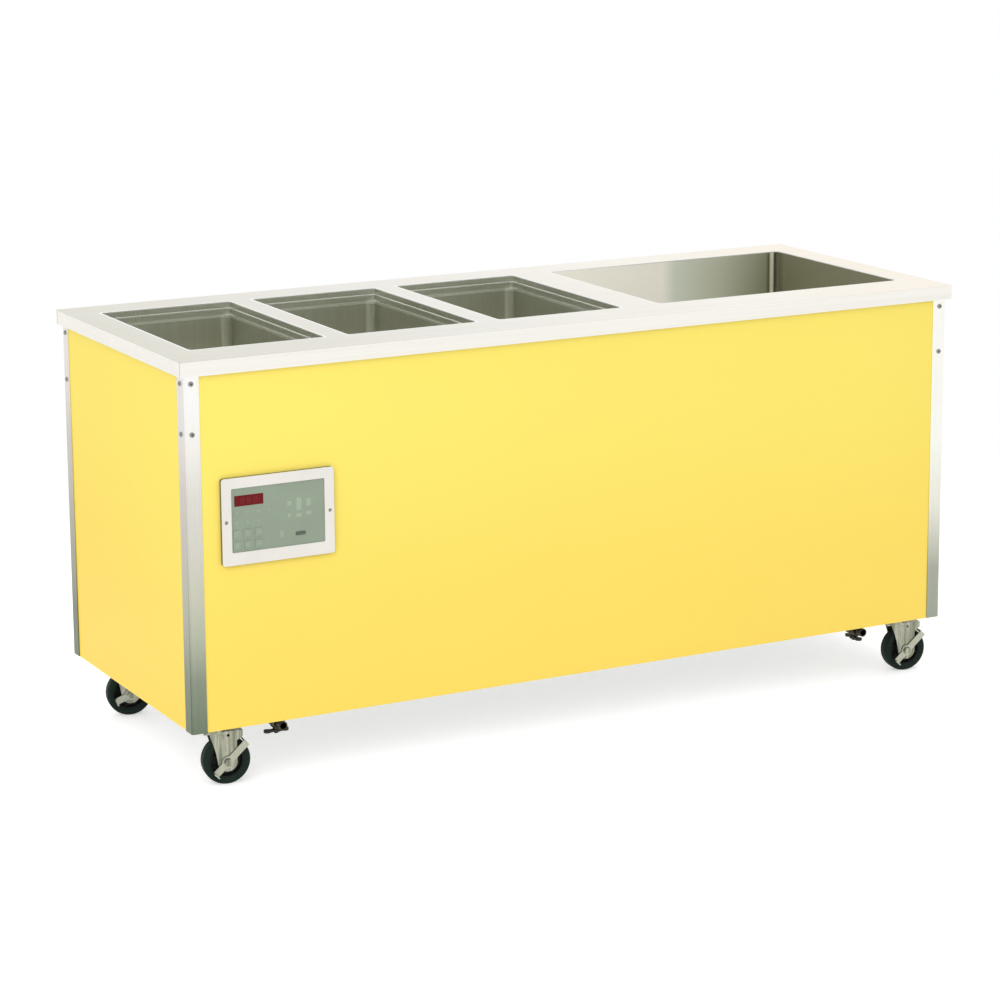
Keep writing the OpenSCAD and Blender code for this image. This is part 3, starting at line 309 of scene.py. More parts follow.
def moulded(name, colour, roughness=0.5, grain=1500.0, depth=0.2 * MM, specular=0.4):
    """Moulded plastic with a fine spark-eroded skin."""
    finish = Finish(name, colour, roughness, specular=specular)
    skin = finish.noise(grain, detail=2.0)
    cloud = finish.noise(12.0, detail=3.0)
    tone = finish.mixed(finish.spread(cloud, 0.0, 1.0), shade(colour, 0.96), shade(colour, 1.03))
    finish.colour(tone)
    finish.rough(finish.spread(skin, roughness - 0.06, roughness + 0.06))
    finish.bump(skin, 0.12, depth)
    return finish


def plated(name, colour):
    """Zinc plate with blotchy spangle and a few dull rubs."""
    finish = Finish(name, colour, 0.26, metallic=1.0)
    blotch = finish.noise(90.0, detail=4.0)
    rubs = finish.noise((260.0, 260.0, 40.0), detail=3.0)
    tone = finish.mixed(finish.spread(blotch, 0.0, 1.0), shade(colour, 0.86), shade(colour, 1.08))
    finish.colour(finish.mixed(finish.spread(rubs, 0.0, 0.35, 0.5, 0.75), tone, shade(colour, 0.66)))
    finish.rough(finish.spread(blotch, 0.26, 0.44))
    finish.bump(rubs, 0.12, 0.3 * MM)
    return finish


def rubber(name, colour):
    """Black rubber with scuffs and a little pale dust."""
    finish = Finish(name, colour, 0.5, specular=0.12)
    scuff = finish.noise(220.0, detail=4.0, rough=0.6)
    dust = finish.noise(30.0, detail=3.0)
    tone = finish.mixed(finish.spread(scuff, 0.0, 1.0), shade(colour, 0.75), shade(colour, 1.3))
    finish.colour(finish.mixed(finish.spread(dust, 0.0, 0.10), tone, (0.06, 0.07, 0.06)))
    finish.rough(finish.spread(scuff, 0.46, 0.66))
    finish.bump(scuff, 0.25, 0.4 * MM)
    return finish


def drawn_tube(name, colour, roughness=(0.25, 0.45)):
    """Drawn copper or heat-darkened tube with patches of tarnish."""
    finish = Finish(name, colour, roughness[0], metallic=1.0)
    tarnish = finish.noise(40.0, detail=5.0, rough=0.6)
    finish.colour(finish.mixed(finish.spread(tarnish, 0.0, 1.0), shade(colour, 0.7), shade(colour, 1.1)))
    finish.rough(finish.spread(tarnish, *roughness))
    finish.bump(tarnish, 0.1, 0.3 * MM)
    return finish


def fibrous(name, colour):
    """Insulation board with matted strands in flat layers."""
    finish = Finish(name, colour, 0.9, specular=0.1)
    strands = finish.noise((160.0, 160.0, 900.0), detail=6.0, rough=0.7)
    cloud = finish.noise(18.0, detail=4.0)
    tone = finish.mixed(finish.spread(strands, 0.0, 1.0), shade(colour, 0.8), shade(colour, 1.1))
    finish.colour(finish.mixed(finish.spread(cloud, 0.0, 0.5), tone, shade(colour, 0.85)))
    finish.bump(strands, 0.6, 1.0 * MM)
    return finish


# Meshes

def dress(names, finish, edge=0.0, segments=3, join_flats=False):
    """Gives CAD nodes a finish and rounds their sharp edges with modifiers that leave the mesh alone."""
    for name in names:
        node = NODES[name]
        node.data.materials.clear()
        node.data.materials.append(finish.material)
        for polygon in node.data.polygons:
            polygon.use_smooth = True
        weld = node.modifiers.new("weld", "WELD")
        weld.merge_threshold = WELD_GAP
        if join_flats:
            flat = node.modifiers.new("whole_faces", "DECIMATE")
            flat.decimate_type = "DISSOLVE"
            flat.angle_limit = math.radians(FLAT_ANGLE)
        if edge > 0:
            bevel = node.modifiers.new("rounded_edges", "BEVEL")
            bevel.width = edge
            bevel.segments = segments
            bevel.limit_method = "ANGLE"
            bevel.angle_limit = math.radians(ROUNDED_ANGLE)
            bevel.use_clamp_overlap = True
            bevel.miter_outer = "MITER_ARC"
        sharpen(node, CRISP_NODE_ANGLE)


def sharpen(piece, angle):
    """Keeps edges sharper than the angle crisp and flat faces flat while the rest is shaded smooth."""
    split = piece.modifiers.new("crisp_edges", "EDGE_SPLIT")
    split.split_angle = math.radians(angle)
    split.use_edge_sharp = False
    weight = piece.modifiers.new("even_shading", "WEIGHTED_NORMAL")
    weight.keep_sharp = True


def add_piece(name, mesh, finish, body, replaces=(), place=None):
    """Links a finished mesh as a piece that rides on a body."""
    data = bpy.data.meshes.new(name)
    bmesh.ops.recalc_face_normals(mesh, faces=mesh.faces)
    mesh.to_mesh(data)
    mesh.free()
    if place is not None:
        data.transform(place)
    for polygon in data.polygons:
        polygon.use_smooth = True
    data.materials.append(finish.material)
    piece = bpy.data.objects.new(name, data)
    bpy.context.scene.collection.objects.link(piece)
    sharpen(piece, CRISP_PIECE_ANGLE)
    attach(piece, body)
    if replaces:
        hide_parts(*replaces)


def lathe(mesh, profile, steps):
    """Turns a closed profile of (radius, along) points round the Y axis."""
    rings = []
    for i in range(steps):
        angle = 2 * math.pi * i / steps
        rings.append([mesh.verts.new((radius * math.cos(angle), along, radius * math.sin(angle)))
                      for radius, along in profile])
    count = len(profile)
    for i in range(steps):
        here, there = rings[i], rings[(i + 1) % steps]
        for k in range(count):
            mesh.faces.new((here[k], here[(k + 1) % count], there[(k + 1) % count], there[k]))


def arc(centre, radius, start, end, steps):
    """Points of a round corner, angles in degrees."""
    points = []
    for i in range(steps + 1):
        angle = math.radians(start + (end - start) * i / steps)
        points.append((centre[0] + radius * math.cos(angle), centre[1] + radius * math.sin(angle)))
    return points


def plate(mesh, outline, low, high, lift):
    """A flat plate with that outline, from low to high. lift turns (u, v, w) into a point."""
    bottom = [mesh.verts.new(lift(u, v, low)) for u, v in outline]
    top = [mesh.verts.new(lift(u, v, high)) for u, v in outline]
    mesh.faces.new(bottom[::-1])
    mesh.faces.new(top)
    count = len(outline)
    for i in range(count):
        mesh.faces.new((bottom[i], bottom[(i + 1) % count], top[(i + 1) % count], top[i]))


def round_box(width, height, radius, steps=5):
    """The outline of a rectangle with round corners, centred."""
    w, h = width / 2 - radius, height / 2 - radius
    points = []
    for cx, cy, start in ((w, h, 0), (-w, h, 90), (-w, -h, 180), (w, -h, 270)):
        points += arc((cx, cy), radius, start, start + 90, steps)
    return points


def moved(outline, u, v):
    """The outline shifted by u and v."""
    return [(u + a, v + b) for a, b in outline]


# Settings

class StageSettings(PropertyGroup):
    """Camera and light of the plain stage."""
    lens: FloatProperty(
        name="Lens", description="Focal length of the camera", default=112.11, unit="CAMERA")
    rise: FloatProperty(
        name="Rise", description="Upward shift of the lens, as a share of the frame", default=-0.1)
    place: FloatVectorProperty(
        name="Camera place", description="Where the camera stands", size=3, subtype="TRANSLATION",
        default=(-3.22182, -6.03395, 2.07706))
    turn: FloatVectorProperty(
        name="Camera turn", description="How the camera is turned", size=3, subtype="EULER",
        default=(math.radians(78.45756), math.radians(0.35672), math.radians(-27.93736)))
    sky: FloatProperty(
        name="Sky", description="Strength of the plain white surround as a light", default=0.80, min=0.0)
    key: FloatProperty(
        name="Key lamp", description="Power of the large lamp in front", default=190.0, unit="POWER")
    top: FloatProperty(
        name="Top lamp", description="Power of the large lamp above", default=40.0, unit="POWER")
    clear_from: FloatProperty(
        name="Clear from", description="Distance from the middle where the floor starts to go plain white",
        default=1.25, unit="LENGTH")
    clear_to: FloatProperty(
        name="Clear to", description="Distance from the middle where the floor is plain white",
        default=2.3, unit="LENGTH")


class CounterSettings(PropertyGroup):
    """Finish of the stainless counter and its basins."""
    steel: FloatVectorProperty(
        name="Counter steel", description="Colour of the countertop's steel", size=3, subtype="COLOR",
        default=(0.98, 0.955, 0.90), min=0.0, max=1.0)
    # Darker and greener than the counter's steel: painted shade inside the wells
    well: FloatVectorProperty(
        name="Well steel", description="Colour of the hot wells' steel", size=3, subtype="COLOR",
        default=(0.68, 0.69, 0.60), min=0.0, max=1.0)
    pan: FloatVectorProperty(
        name="Cold pan steel", description="Colour of the cold pan's steel", size=3, subtype="COLOR",
        default=(0.97, 0.94, 0.87), min=0.0, max=1.0)
    edge: FloatProperty(
        name="Edge radius", description="Bend radius of the counter's visible edges", default=0.9 * MM,
        min=0.1 * MM, unit="LENGTH")


class CabinetSettings(PropertyGroup):
    """Finish of the cabinet's panels and posts."""
    panel: FloatVectorProperty(
        name="Panel colour", description="Colour of the painted panels", size=3, subtype="COLOR",
        default=(0.97, 0.80, 0.150), min=0.0, max=1.0)
    post: FloatVectorProperty(
        name="Post steel", description="Colour of the corner posts' steel", size=3, subtype="COLOR",
        default=(0.98, 0.97, 0.94), min=0.0, max=1.0)
    panel_edge: FloatProperty(
        name="Panel edge", description="Rounding of the panels' edges", default=0.6 * MM,
        min=0.1 * MM, unit="LENGTH")


class ControlSettings(PropertyGroup):
    """Finish of the control panel."""
    bezel: FloatVectorProperty(
        name="Bezel colour", description="Colour of the bezel", size=3, subtype="COLOR",
        default=(0.78, 0.755, 0.72), min=0.0, max=1.0)
    overlay: FloatVectorProperty(
        name="Overlay colour", description="Colour of the membrane overlay", size=3, subtype="COLOR",
        default=(0.265, 0.325, 0.25), min=0.0, max=1.0)
    window: FloatVectorProperty(
        name="Window colour", description="Colour of the display window", size=3, subtype="COLOR",
        default=(0.15, 0.007, 0.009), min=0.0, max=1.0)
    mark: FloatProperty(
        name="Mark thickness", description="How far the printed bars stand up", default=0.15 * MM,
        min=0.05 * MM, unit="LENGTH")


class CasterSettings(PropertyGroup):
    """Form and finish of the casters."""
    zinc: FloatVectorProperty(
        name="Zinc colour", description="Colour of the plated parts", size=3, subtype="COLOR",
        default=(0.42, 0.43, 0.36), min=0.0, max=1.0)
    tyre: FloatVectorProperty(
        name="Tyre colour", description="Colour of the tyres", size=3, subtype="COLOR",
        default=(0.007, 0.017, 0.012), min=0.0, max=1.0)
    steps: IntProperty(name="Roundness", description="Facets round each wheel", default=96, min=24, max=256)


# Operators

class STATION_OT_stage(Operator):
    """Sets the camera, the pale floor and the lamps"""
    bl_idname = "station.stage"
    bl_label = "Stage"

    def execute(self, context):
        stage = context.scene.station_stage
        scene = context.scene
        data = bpy.data.cameras.new("camera")
        data.sensor_width = 36.0
        data.lens = stage.lens
        data.shift_y = stage.rise
        data.clip_end = 100.0
        camera = bpy.data.objects.new("camera", data)
        camera.location = stage.place
        camera.rotation_euler = stage.turn
        scene.collection.objects.link(camera)
        scene.camera = camera
        self.surround(scene, stage)
        self.floor(scene, stage)
        self.lamp("key_lamp", place=(-4.7, -4.7, 4.4), target=(0.0, 0.0, 0.45), power=stage.key)
        self.lamp("top_lamp", place=(0.5, 0.6, 4.5), target=(0.0, 0.0, 0.5), power=stage.top)
        scene.view_settings.view_transform = "Standard"
        return {"FINISHED"}

    def surround(self, scene, stage):
        """White where the camera or a reflection looks past the floor, and softer as a light."""
        world = bpy.data.worlds.new("surround")
        scene.world = world
        world.use_nodes = True
        nodes, links = world.node_tree.nodes, world.node_tree.links
        nodes.clear()
        path = nodes.new("ShaderNodeLightPath")
        seen = path.outputs["Is Camera Ray"]
        for ray in ("Is Glossy Ray", "Is Transmission Ray"):
            larger = nodes.new("ShaderNodeMath")
            larger.operation = "MAXIMUM"
            links.new(seen, larger.inputs[0])
            links.new(path.outputs[ray], larger.inputs[1])
            seen = larger.outputs["Value"]
        mix = nodes.new("ShaderNodeMixShader")
        links.new(seen, mix.inputs["Fac"])
        for socket, strength in ((mix.inputs[1], stage.sky), (mix.inputs[2], 1.0)):
            white = nodes.new("ShaderNodeBackground")
            white.inputs["Color"].default_value = (*WHITE, 1.0)
            white.inputs["Strength"].default_value = strength
            links.new(white.outputs["Background"], socket)
        out = nodes.new("ShaderNodeOutputWorld")
        links.new(mix.outputs["Shader"], out.inputs["Surface"])

    def floor(self, scene, stage):
        """Pale floor that keeps the shadow near the station and goes plain white farther out."""
        mesh = bmesh.new()
        bmesh.ops.create_grid(mesh, x_segments=8, y_segments=8, size=30.0)
        data = bpy.data.meshes.new("floor")
        mesh.to_mesh(data)
        mesh.free()
        floor = bpy.data.objects.new("floor", data)
        scene.collection.objects.link(floor)
        finish = Finish("floor_paint", (0.86, 0.86, 0.85), 0.9, specular=0.05)
        nodes = finish.tree.nodes
        plain = finish.shader.outputs["BSDF"]
        path = nodes.new("ShaderNodeLightPath")
        glow = nodes.new("ShaderNodeEmission")
        glow.inputs["Strength"].default_value = 0.45
        white = nodes.new("ShaderNodeEmission")
        distance = nodes.new("ShaderNodeVectorMath")
        distance.operation = "LENGTH"
        finish.link(finish.stretched((0.8, 1.0, 1.0)), distance.inputs[0])
        far = finish.spread(distance.outputs["Value"], 0.0, 1.0, stage.clear_from, stage.clear_to)
        add = nodes.new("ShaderNodeAddShader")
        finish.link(plain, add.inputs[0])
        finish.link(glow.outputs["Emission"], add.inputs[1])
        fade = nodes.new("ShaderNodeMixShader")
        finish.link(far, fade.inputs["Fac"])
        finish.link(add.outputs["Shader"], fade.inputs[1])
        finish.link(white.outputs["Emission"], fade.inputs[2])
        pick = nodes.new("ShaderNodeMixShader")
        seen = finish.math("MAXIMUM", path.outputs["Is Camera Ray"], path.outputs["Is Glossy Ray"])
        finish.link(seen, pick.inputs["Fac"])
        finish.link(plain, pick.inputs[1])
        finish.link(fade.outputs["Shader"], pick.inputs[2])
        finish.link(pick.outputs["Shader"], nodes["Material Output"].inputs["Surface"])
        data.materials.append(finish.material)

    def lamp(self, name, place, target, power):
        """A soft lamp that doesn't show in reflections."""
        data = bpy.data.lights.new(name, "AREA")
        data.shape = "RECTANGLE"
        data.size, data.size_y = 5.0, 4.0
        data.energy = power
        lamp = bpy.data.objects.new(name, data)
        lamp.visible_glossy = False
        lamp.location = place
        lamp.rotation_euler = (Vector(target) - Vector(place)).to_track_quat("-Z", "Y").to_euler()
        bpy.context.scene.collection.objects.link(lamp)


class STATION_OT_counter(Operator):
    """Finishes the countertop, the hot wells and the cold pan"""
    bl_idname = "station.counter"
    bl_label = "Counter and basins"

    def execute(self, context):
        counter = context.scene.station_counter
        self.top(counter)
        self.wells(counter)
        self.pan(counter)
        return {"FINISHED"}

    def top(self, counter):
        """The top's steel, with painted light: the upper face gets lighter from left to right, and the edge is
        even.
        """
        top = brushed("counter_steel", counter.steel, "X", roughness=(0.34, 0.46), contrast=0.03)
        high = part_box("countertop")[1]
        skin = 1.5 * MM
        face = top.ramp(top.along("X", -high.x, high.x), COUNTER_LIGHT_ALONG)
        upper = top.above(top.axis("Z"), high.z - skin)
        # Painted light: the upper face takes the tint along X, the edge an even tint
        top.tinted(top.mixed(upper, (0.97, 0.97, 0.96), face))
        self.mitre_seams(top)
        self.rim_highlights(top)
        dress(["countertop"], top, edge=counter.edge, join_flats=True)

    def mitre_seams(self, finish):
        """A thin dark weld line down each corner of the turned-down edge."""
        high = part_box("countertop")[1]
        along = finish.math("COMPARE", finish.off_middle("X"), high.x, 0.6 * MM)
        near = finish.math("COMPARE", finish.off_middle("Y"), high.y - 2.6 * MM, 0.7 * MM)
        finish.painted(finish.math("MULTIPLY", along, near), (0.16, 0.15, 0.13))

    def rim_highlights(self, finish):
        """A painted highlight along the line that runs round each opening in the top."""
        inset, width = 18 * MM, 4.5 * MM
        lines = None
        for name in (*WELLS, "cold_pan"):
            low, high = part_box(name)
            past = []
            for axis, near, far in (("X", low.x, high.x), ("Y", low.y, high.y)):
                off = finish.math("SUBTRACT", finish.axis(axis), (near + far) / 2)
                past.append(finish.math("SUBTRACT", finish.math("ABSOLUTE", off), (far - near) / 2 - inset))
            line = finish.math("LESS_THAN", finish.math("MAXIMUM", *past), width)
            lines = finish.either(lines, line)
        # Painted highlight: a near-white band round each opening
        finish.painted(lines, (0.98, 0.98, 0.97))

    def wells(self, counter):
        """The wells' steel, with painted highlights along the two upper steps."""
        # The wells' steel colour is darkened as painted shade inside the wells
        well = brushed("well_steel", counter.well, "Z", roughness=(0.29, 0.35), contrast=0.03, relief=0.03)
        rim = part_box("countertop")[1].z
        lines = None
        # Painted highlights: a bright band at each step's height
        for drop, width in ((15 * MM, 1.4 * MM), (31 * MM, 2.4 * MM)):
            off = well.math("SUBTRACT", well.axis("Z"), rim - drop)
            lines = well.either(lines, well.math("LESS_THAN", well.math("ABSOLUTE", off), width))
        well.painted(lines, (0.98, 0.98, 0.94))
        dress(WELLS, well, edge=0.5 * MM)

    def pan(self, counter):
        """The pan's steel, with a painted reflection of its surroundings from left to right and a painted
        highlight in the bend at the back.
        """
        pan = brushed("cold_pan_steel", counter.pan, "X", roughness=(0.33, 0.37), contrast=0.010,
                      metallic=0.25, relief=0.008)
        floor_top, wall_foot, back_depth = 12 * MM, 50 * MM, 45 * MM
        low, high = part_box("cold_pan")
        across = pan.along("X", low.x, high.x)
        walls = pan.along("Z", low.z + floor_top, low.z + wall_foot)
        # Painted reflection across the walls, light at the left and dark at the right; the floor takes an
        # even, slightly darker tint
        pan.tinted(pan.mixed(walls, (0.80, 0.81, 0.76), pan.ramp(across, PAN_REFLECTION_ALONG)))
        # Painted highlight and lines of painted shade in the bend near the back
        back = pan.above(pan.axis("Y"), high.y - back_depth)
        pan.tinted(pan.mixed(back, WHITE, pan.ramp(across, PAN_BEND_HIGHLIGHT)))
        dress(["cold_pan"], pan, edge=0.5 * MM)


class STATION_OT_cabinet(Operator):
    """Finishes the panels, posts, screws, frame and base pan"""
    bl_idname = "station.cabinet"
    bl_label = "Cabinet"

    def execute(self, context):
        cabinet = context.scene.station_cabinet
        self.panels(cabinet)
        self.posts(cabinet)
        dress(["post_screws"], plated("screw_steel", (0.34, 0.34, 0.32)), edge=0.4 * MM)
        self.screw_crosses()
        dress(["top_frame", "uprights", "base_pan", "cooling_unit_base", "fan_shroud", "control_box"],
              plated("galvanised_steel", (0.56, 0.57, 0.56)), edge=0.5 * MM)
        grille = brushed("grille_aluminium", (0.72, 0.72, 0.70), "X", roughness=(0.3, 0.45))
        dress(["rear_grille"], grille, edge=0.3 * MM)
        return {"FINISHED"}

    def panels(self, cabinet):
        """Yellow paint, with painted shade that makes it warmer towards the floor and on the end panels."""
        paint = powder_coat("panel_yellow", cabinet.panel)
        low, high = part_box("front_panel")
        height = paint.along("Z", low.z, high.z)
        paint.tinted(paint.ramp(height, PANEL_SHADE_UP))
        end = paint.above(paint.off_middle("X"), high.x + 1.0 * MM)
        # Painted shade on the end panels: a deeper yellow, most of all low down
        end_shade = paint.mixed(height, (1.0, 0.94, 0.40), (1.0, 0.97, 0.63))
        paint.tinted(paint.mixed(end, WHITE, end_shade))
        dress(["front_panel", "rear_panel", "left_panel", "right_panel"], paint, edge=cabinet.panel_edge,
              join_flats=True)

    def posts(self, cabinet):
        """Brushed steel with a painted reflection of the darker floor low down, more so at the left."""
        foot, head, blend = 136 * MM, 884 * MM, 300 * MM
        post = brushed("post_steel", cabinet.post, "Z", roughness=(0.22, 0.36), contrast=0.03)
        height = post.along("Z", foot, head)
        left, right = post.ramp(height, LEFT_POST_REFLECTION_UP), post.ramp(height, RIGHT_POST_REFLECTION_UP)
        post.tinted(post.mixed(post.along("X", -blend, blend), left, right))
        self.shaded_post_faces(post)
        dress(["corner_posts"], post, edge=0.5 * MM, join_flats=True)

    def shaded_post_faces(self, finish):
        """Painted shade: the posts' end faces are a little darker than the front ones, most of all low down,
        with a grey line of painted shade down each bend.
        """
        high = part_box("corner_posts")[1]
        skin, dark_up_to, light_from = 1.3 * MM, 200 * MM, 600 * MM
        end = finish.above(finish.off_middle("X"), high.x - skin)
        front = finish.above(finish.off_middle("Y"), high.y - skin)
        height = finish.along("Z", dark_up_to, light_from)
        # Painted shade on the end faces, darkest low down
        tint = finish.mixed(height, (0.66, 0.68, 0.66), (0.84, 0.81, 0.80))
        finish.tinted(finish.mixed(end, WHITE, tint))
        finish.tinted(finish.mixed(finish.math("MULTIPLY", end, front), WHITE, (0.86, 0.85, 0.83)))

    def screw_crosses(self):
        """The dark cross recess in each screw head on the posts: a flush mark whose near-black colour is
        painted shade.
        """
        arm, reach, depth = 0.75 * MM, 2.4 * MM, 0.3 * MM
        cross = [(arm, arm), (arm, reach), (-arm, reach), (-arm, arm), (-reach, arm), (-reach, -arm),
                 (-arm, -arm), (-arm, -reach), (arm, -reach), (arm, -arm), (reach, -arm), (reach, arm)]
        radius, inset = 5.5 * MM, 19.4 * MM
        low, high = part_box("post_screws")
        mesh = bmesh.new()
        for sx in (-1, 1):
            for sy in (-1, 1):
                for z in (high.z - radius, low.z + radius):
                    x, y = sx * (high.x - inset), sy * high.y
                    plate(mesh, cross, -depth, 0.0, lambda u, v, w: Vector((x + u, y + sy * w, z + v)))
                    x, y = sx * high.x, sy * (high.y - inset)
                    plate(mesh, cross, -depth, 0.0, lambda u, v, w: Vector((x + sx * w, y + u, z + v)))
        # Near black as painted shade in the recess
        recess = moulded("screw_recess_shade", (0.03, 0.03, 0.028), roughness=0.7)
        add_piece("post_screw_crosses", mesh, recess, "cabinet")


class STATION_OT_controls(Operator):
    """Finishes the control panel and adds its printed bars, signs and digits"""
    bl_idname = "station.controls"
    bl_label = "Control panel"

    def execute(self, context):
        look = context.scene.station_controls
        bezel = moulded("bezel_plastic", look.bezel, roughness=0.42)
        face_depth = 2.2 * MM
        # Painted shade: the bezel's sides behind its front face are coloured dark
        side_shade = bezel.above(bezel.axis("Y"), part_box("control_bezel")[0].y + face_depth)
        bezel.painted(side_shade, (0.13, 0.13, 0.09))
        dress(["control_bezel"], bezel, edge=1.6 * MM, segments=4, join_flats=True)
        overlay = moulded("overlay_film", look.overlay, roughness=0.38, grain=2200.0)
        dress(["control_overlay"], overlay, edge=0.2 * MM)
        window = moulded("window_film", look.window, roughness=0.22, grain=40.0, depth=0.05 * MM,
                         specular=0.15)
        dress(["display_window"], window, edge=0.2 * MM)
        lens = moulded("lens_plastic", shade(look.overlay, 1.30), roughness=0.2, specular=0.6)
        dress(["indicator_lenses"], lens, edge=0.15 * MM)
        key = moulded("key_film", shade(look.overlay, 1.06), roughness=0.4, grain=2200.0)
        keys = [name for name in NODES if name.startswith("key_") and name != "key_power"]
        dress(keys, key, edge=0.35 * MM)
        power = moulded("power_key_film", shade(look.overlay, 0.36), roughness=0.35)
        dress(["key_power"], power, edge=0.35 * MM)
        dress(["bezel_screws"], plated("bezel_screw_steel", (0.34, 0.33, 0.30)), edge=0.2 * MM)
        board = moulded("board_lacquer", (0.02, 0.12, 0.05), roughness=0.3)
        dress(["control_board"], board, edge=0.2 * MM)
        gland = moulded("gland_nylon", (0.02, 0.02, 0.02), roughness=0.45)
        dress(["cord_gland"], gland, edge=0.4 * MM)
        ink = moulded("print_ink", shade(look.overlay, 1.25), roughness=0.5)
        self.printed_bars(look, ink)
        self.key_signs(ink)
        self.digits(look)
        return {"FINISHED"}

    def printed_bars(self, look, ink):
        """Soft pale bars round the lamps, like the print on a membrane panel."""
        low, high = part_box("control_bezel")
        middle = (low + high) / 2
        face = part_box("control_overlay")[0].y
        mesh = bmesh.new()
        # Each bar's place from the bezel's middle, its width and its height, all in mm
        for x, z, width, height in (
                (25, 24.5, 9, 9), (46.5, 21.5, 11, 26), (68, 22.5, 10, 15), (25, -1, 6, 7),
                (46.5, -2.5, 11, 8), (68, 0, 13, 7), (5.2, -38, 2.6, 14), (9.8, -38, 2.6, 14)):
            outline = moved(round_box(width * MM, height * MM, 1.2 * MM),
                            middle.x + x * MM, middle.z + z * MM)
            plate(mesh, outline, -PRINT_ROOT, look.mark, lambda u, v, w: Vector((u, face - w, v)))
        add_piece("overlay_bars", mesh, ink, "cabinet")

    def key_signs(self, ink):
        """One plain sign on each key: bars for the wells, a ring for the cold pan, and arrows."""
        bar = round_box(1.6 * MM, 6 * MM, 0.7 * MM)
        arrow = [(-3.4 * MM, -2 * MM), (3.4 * MM, -2 * MM), (0.0, 3.4 * MM)]
        radius = 3.2 * MM
        turns = [math.radians(angle) for angle in range(0, 360, 15)]
        signs = {
            "key_well_1": [bar],
            "key_well_2": [moved(bar, side * 1.7 * MM, 0.0) for side in (-1, 1)],
            "key_well_3": [moved(bar, side * 3.0 * MM, 0.0) for side in (-1, 0, 1)],
            "key_cold": [[(radius * math.cos(turn), radius * math.sin(turn)) for turn in turns]],
            "key_up": [arrow],
            "key_down": [[(-u, -v) for u, v in arrow]],
        }
        for name, outlines in signs.items():
            low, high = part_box(name)
            x, z = (low.x + high.x) / 2, (low.z + high.z) / 2
            mesh = bmesh.new()
            for outline in outlines:
                plate(mesh, outline, -PRINT_ROOT, 0.06 * MM,
                      lambda u, v, w: Vector((x + u, low.y - w, z + v)))
            add_piece(name + "_sign", mesh, ink, name)

    def digits(self, look):
        """Three unlit digits of seven bars each on the display window."""
        low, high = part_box("display_window")
        middle = (low + high) / 2
        mesh = bmesh.new()
        pitch, tall, wide, slim = 15 * MM, 5.2 * MM, 6.0 * MM, 1.1 * MM
        aside, upright = wide / 1.7, tall * 0.8
        for k in (-1, 0, 1):
            x = middle.x + k * pitch
            bars = [(x, middle.z + s * tall, wide, slim) for s in (-1, 0, 1)]
            bars += [(x + sx * aside, middle.z + sz * tall / 2, slim, upright)
                     for sx in (-1, 1) for sz in (-1, 1)]
            for u0, v0, width, height in bars:
                outline = moved(round_box(width, height, 0.4 * MM, steps=3), u0, v0)
                plate(mesh, outline, -PRINT_ROOT, 0.05 * MM, lambda u, v, w: Vector((u, low.y - w, v)))
        unlit = moulded("digit_red", shade(look.window, 1.2), roughness=0.3)
        add_piece("display_digits", mesh, unlit, "cabinet")


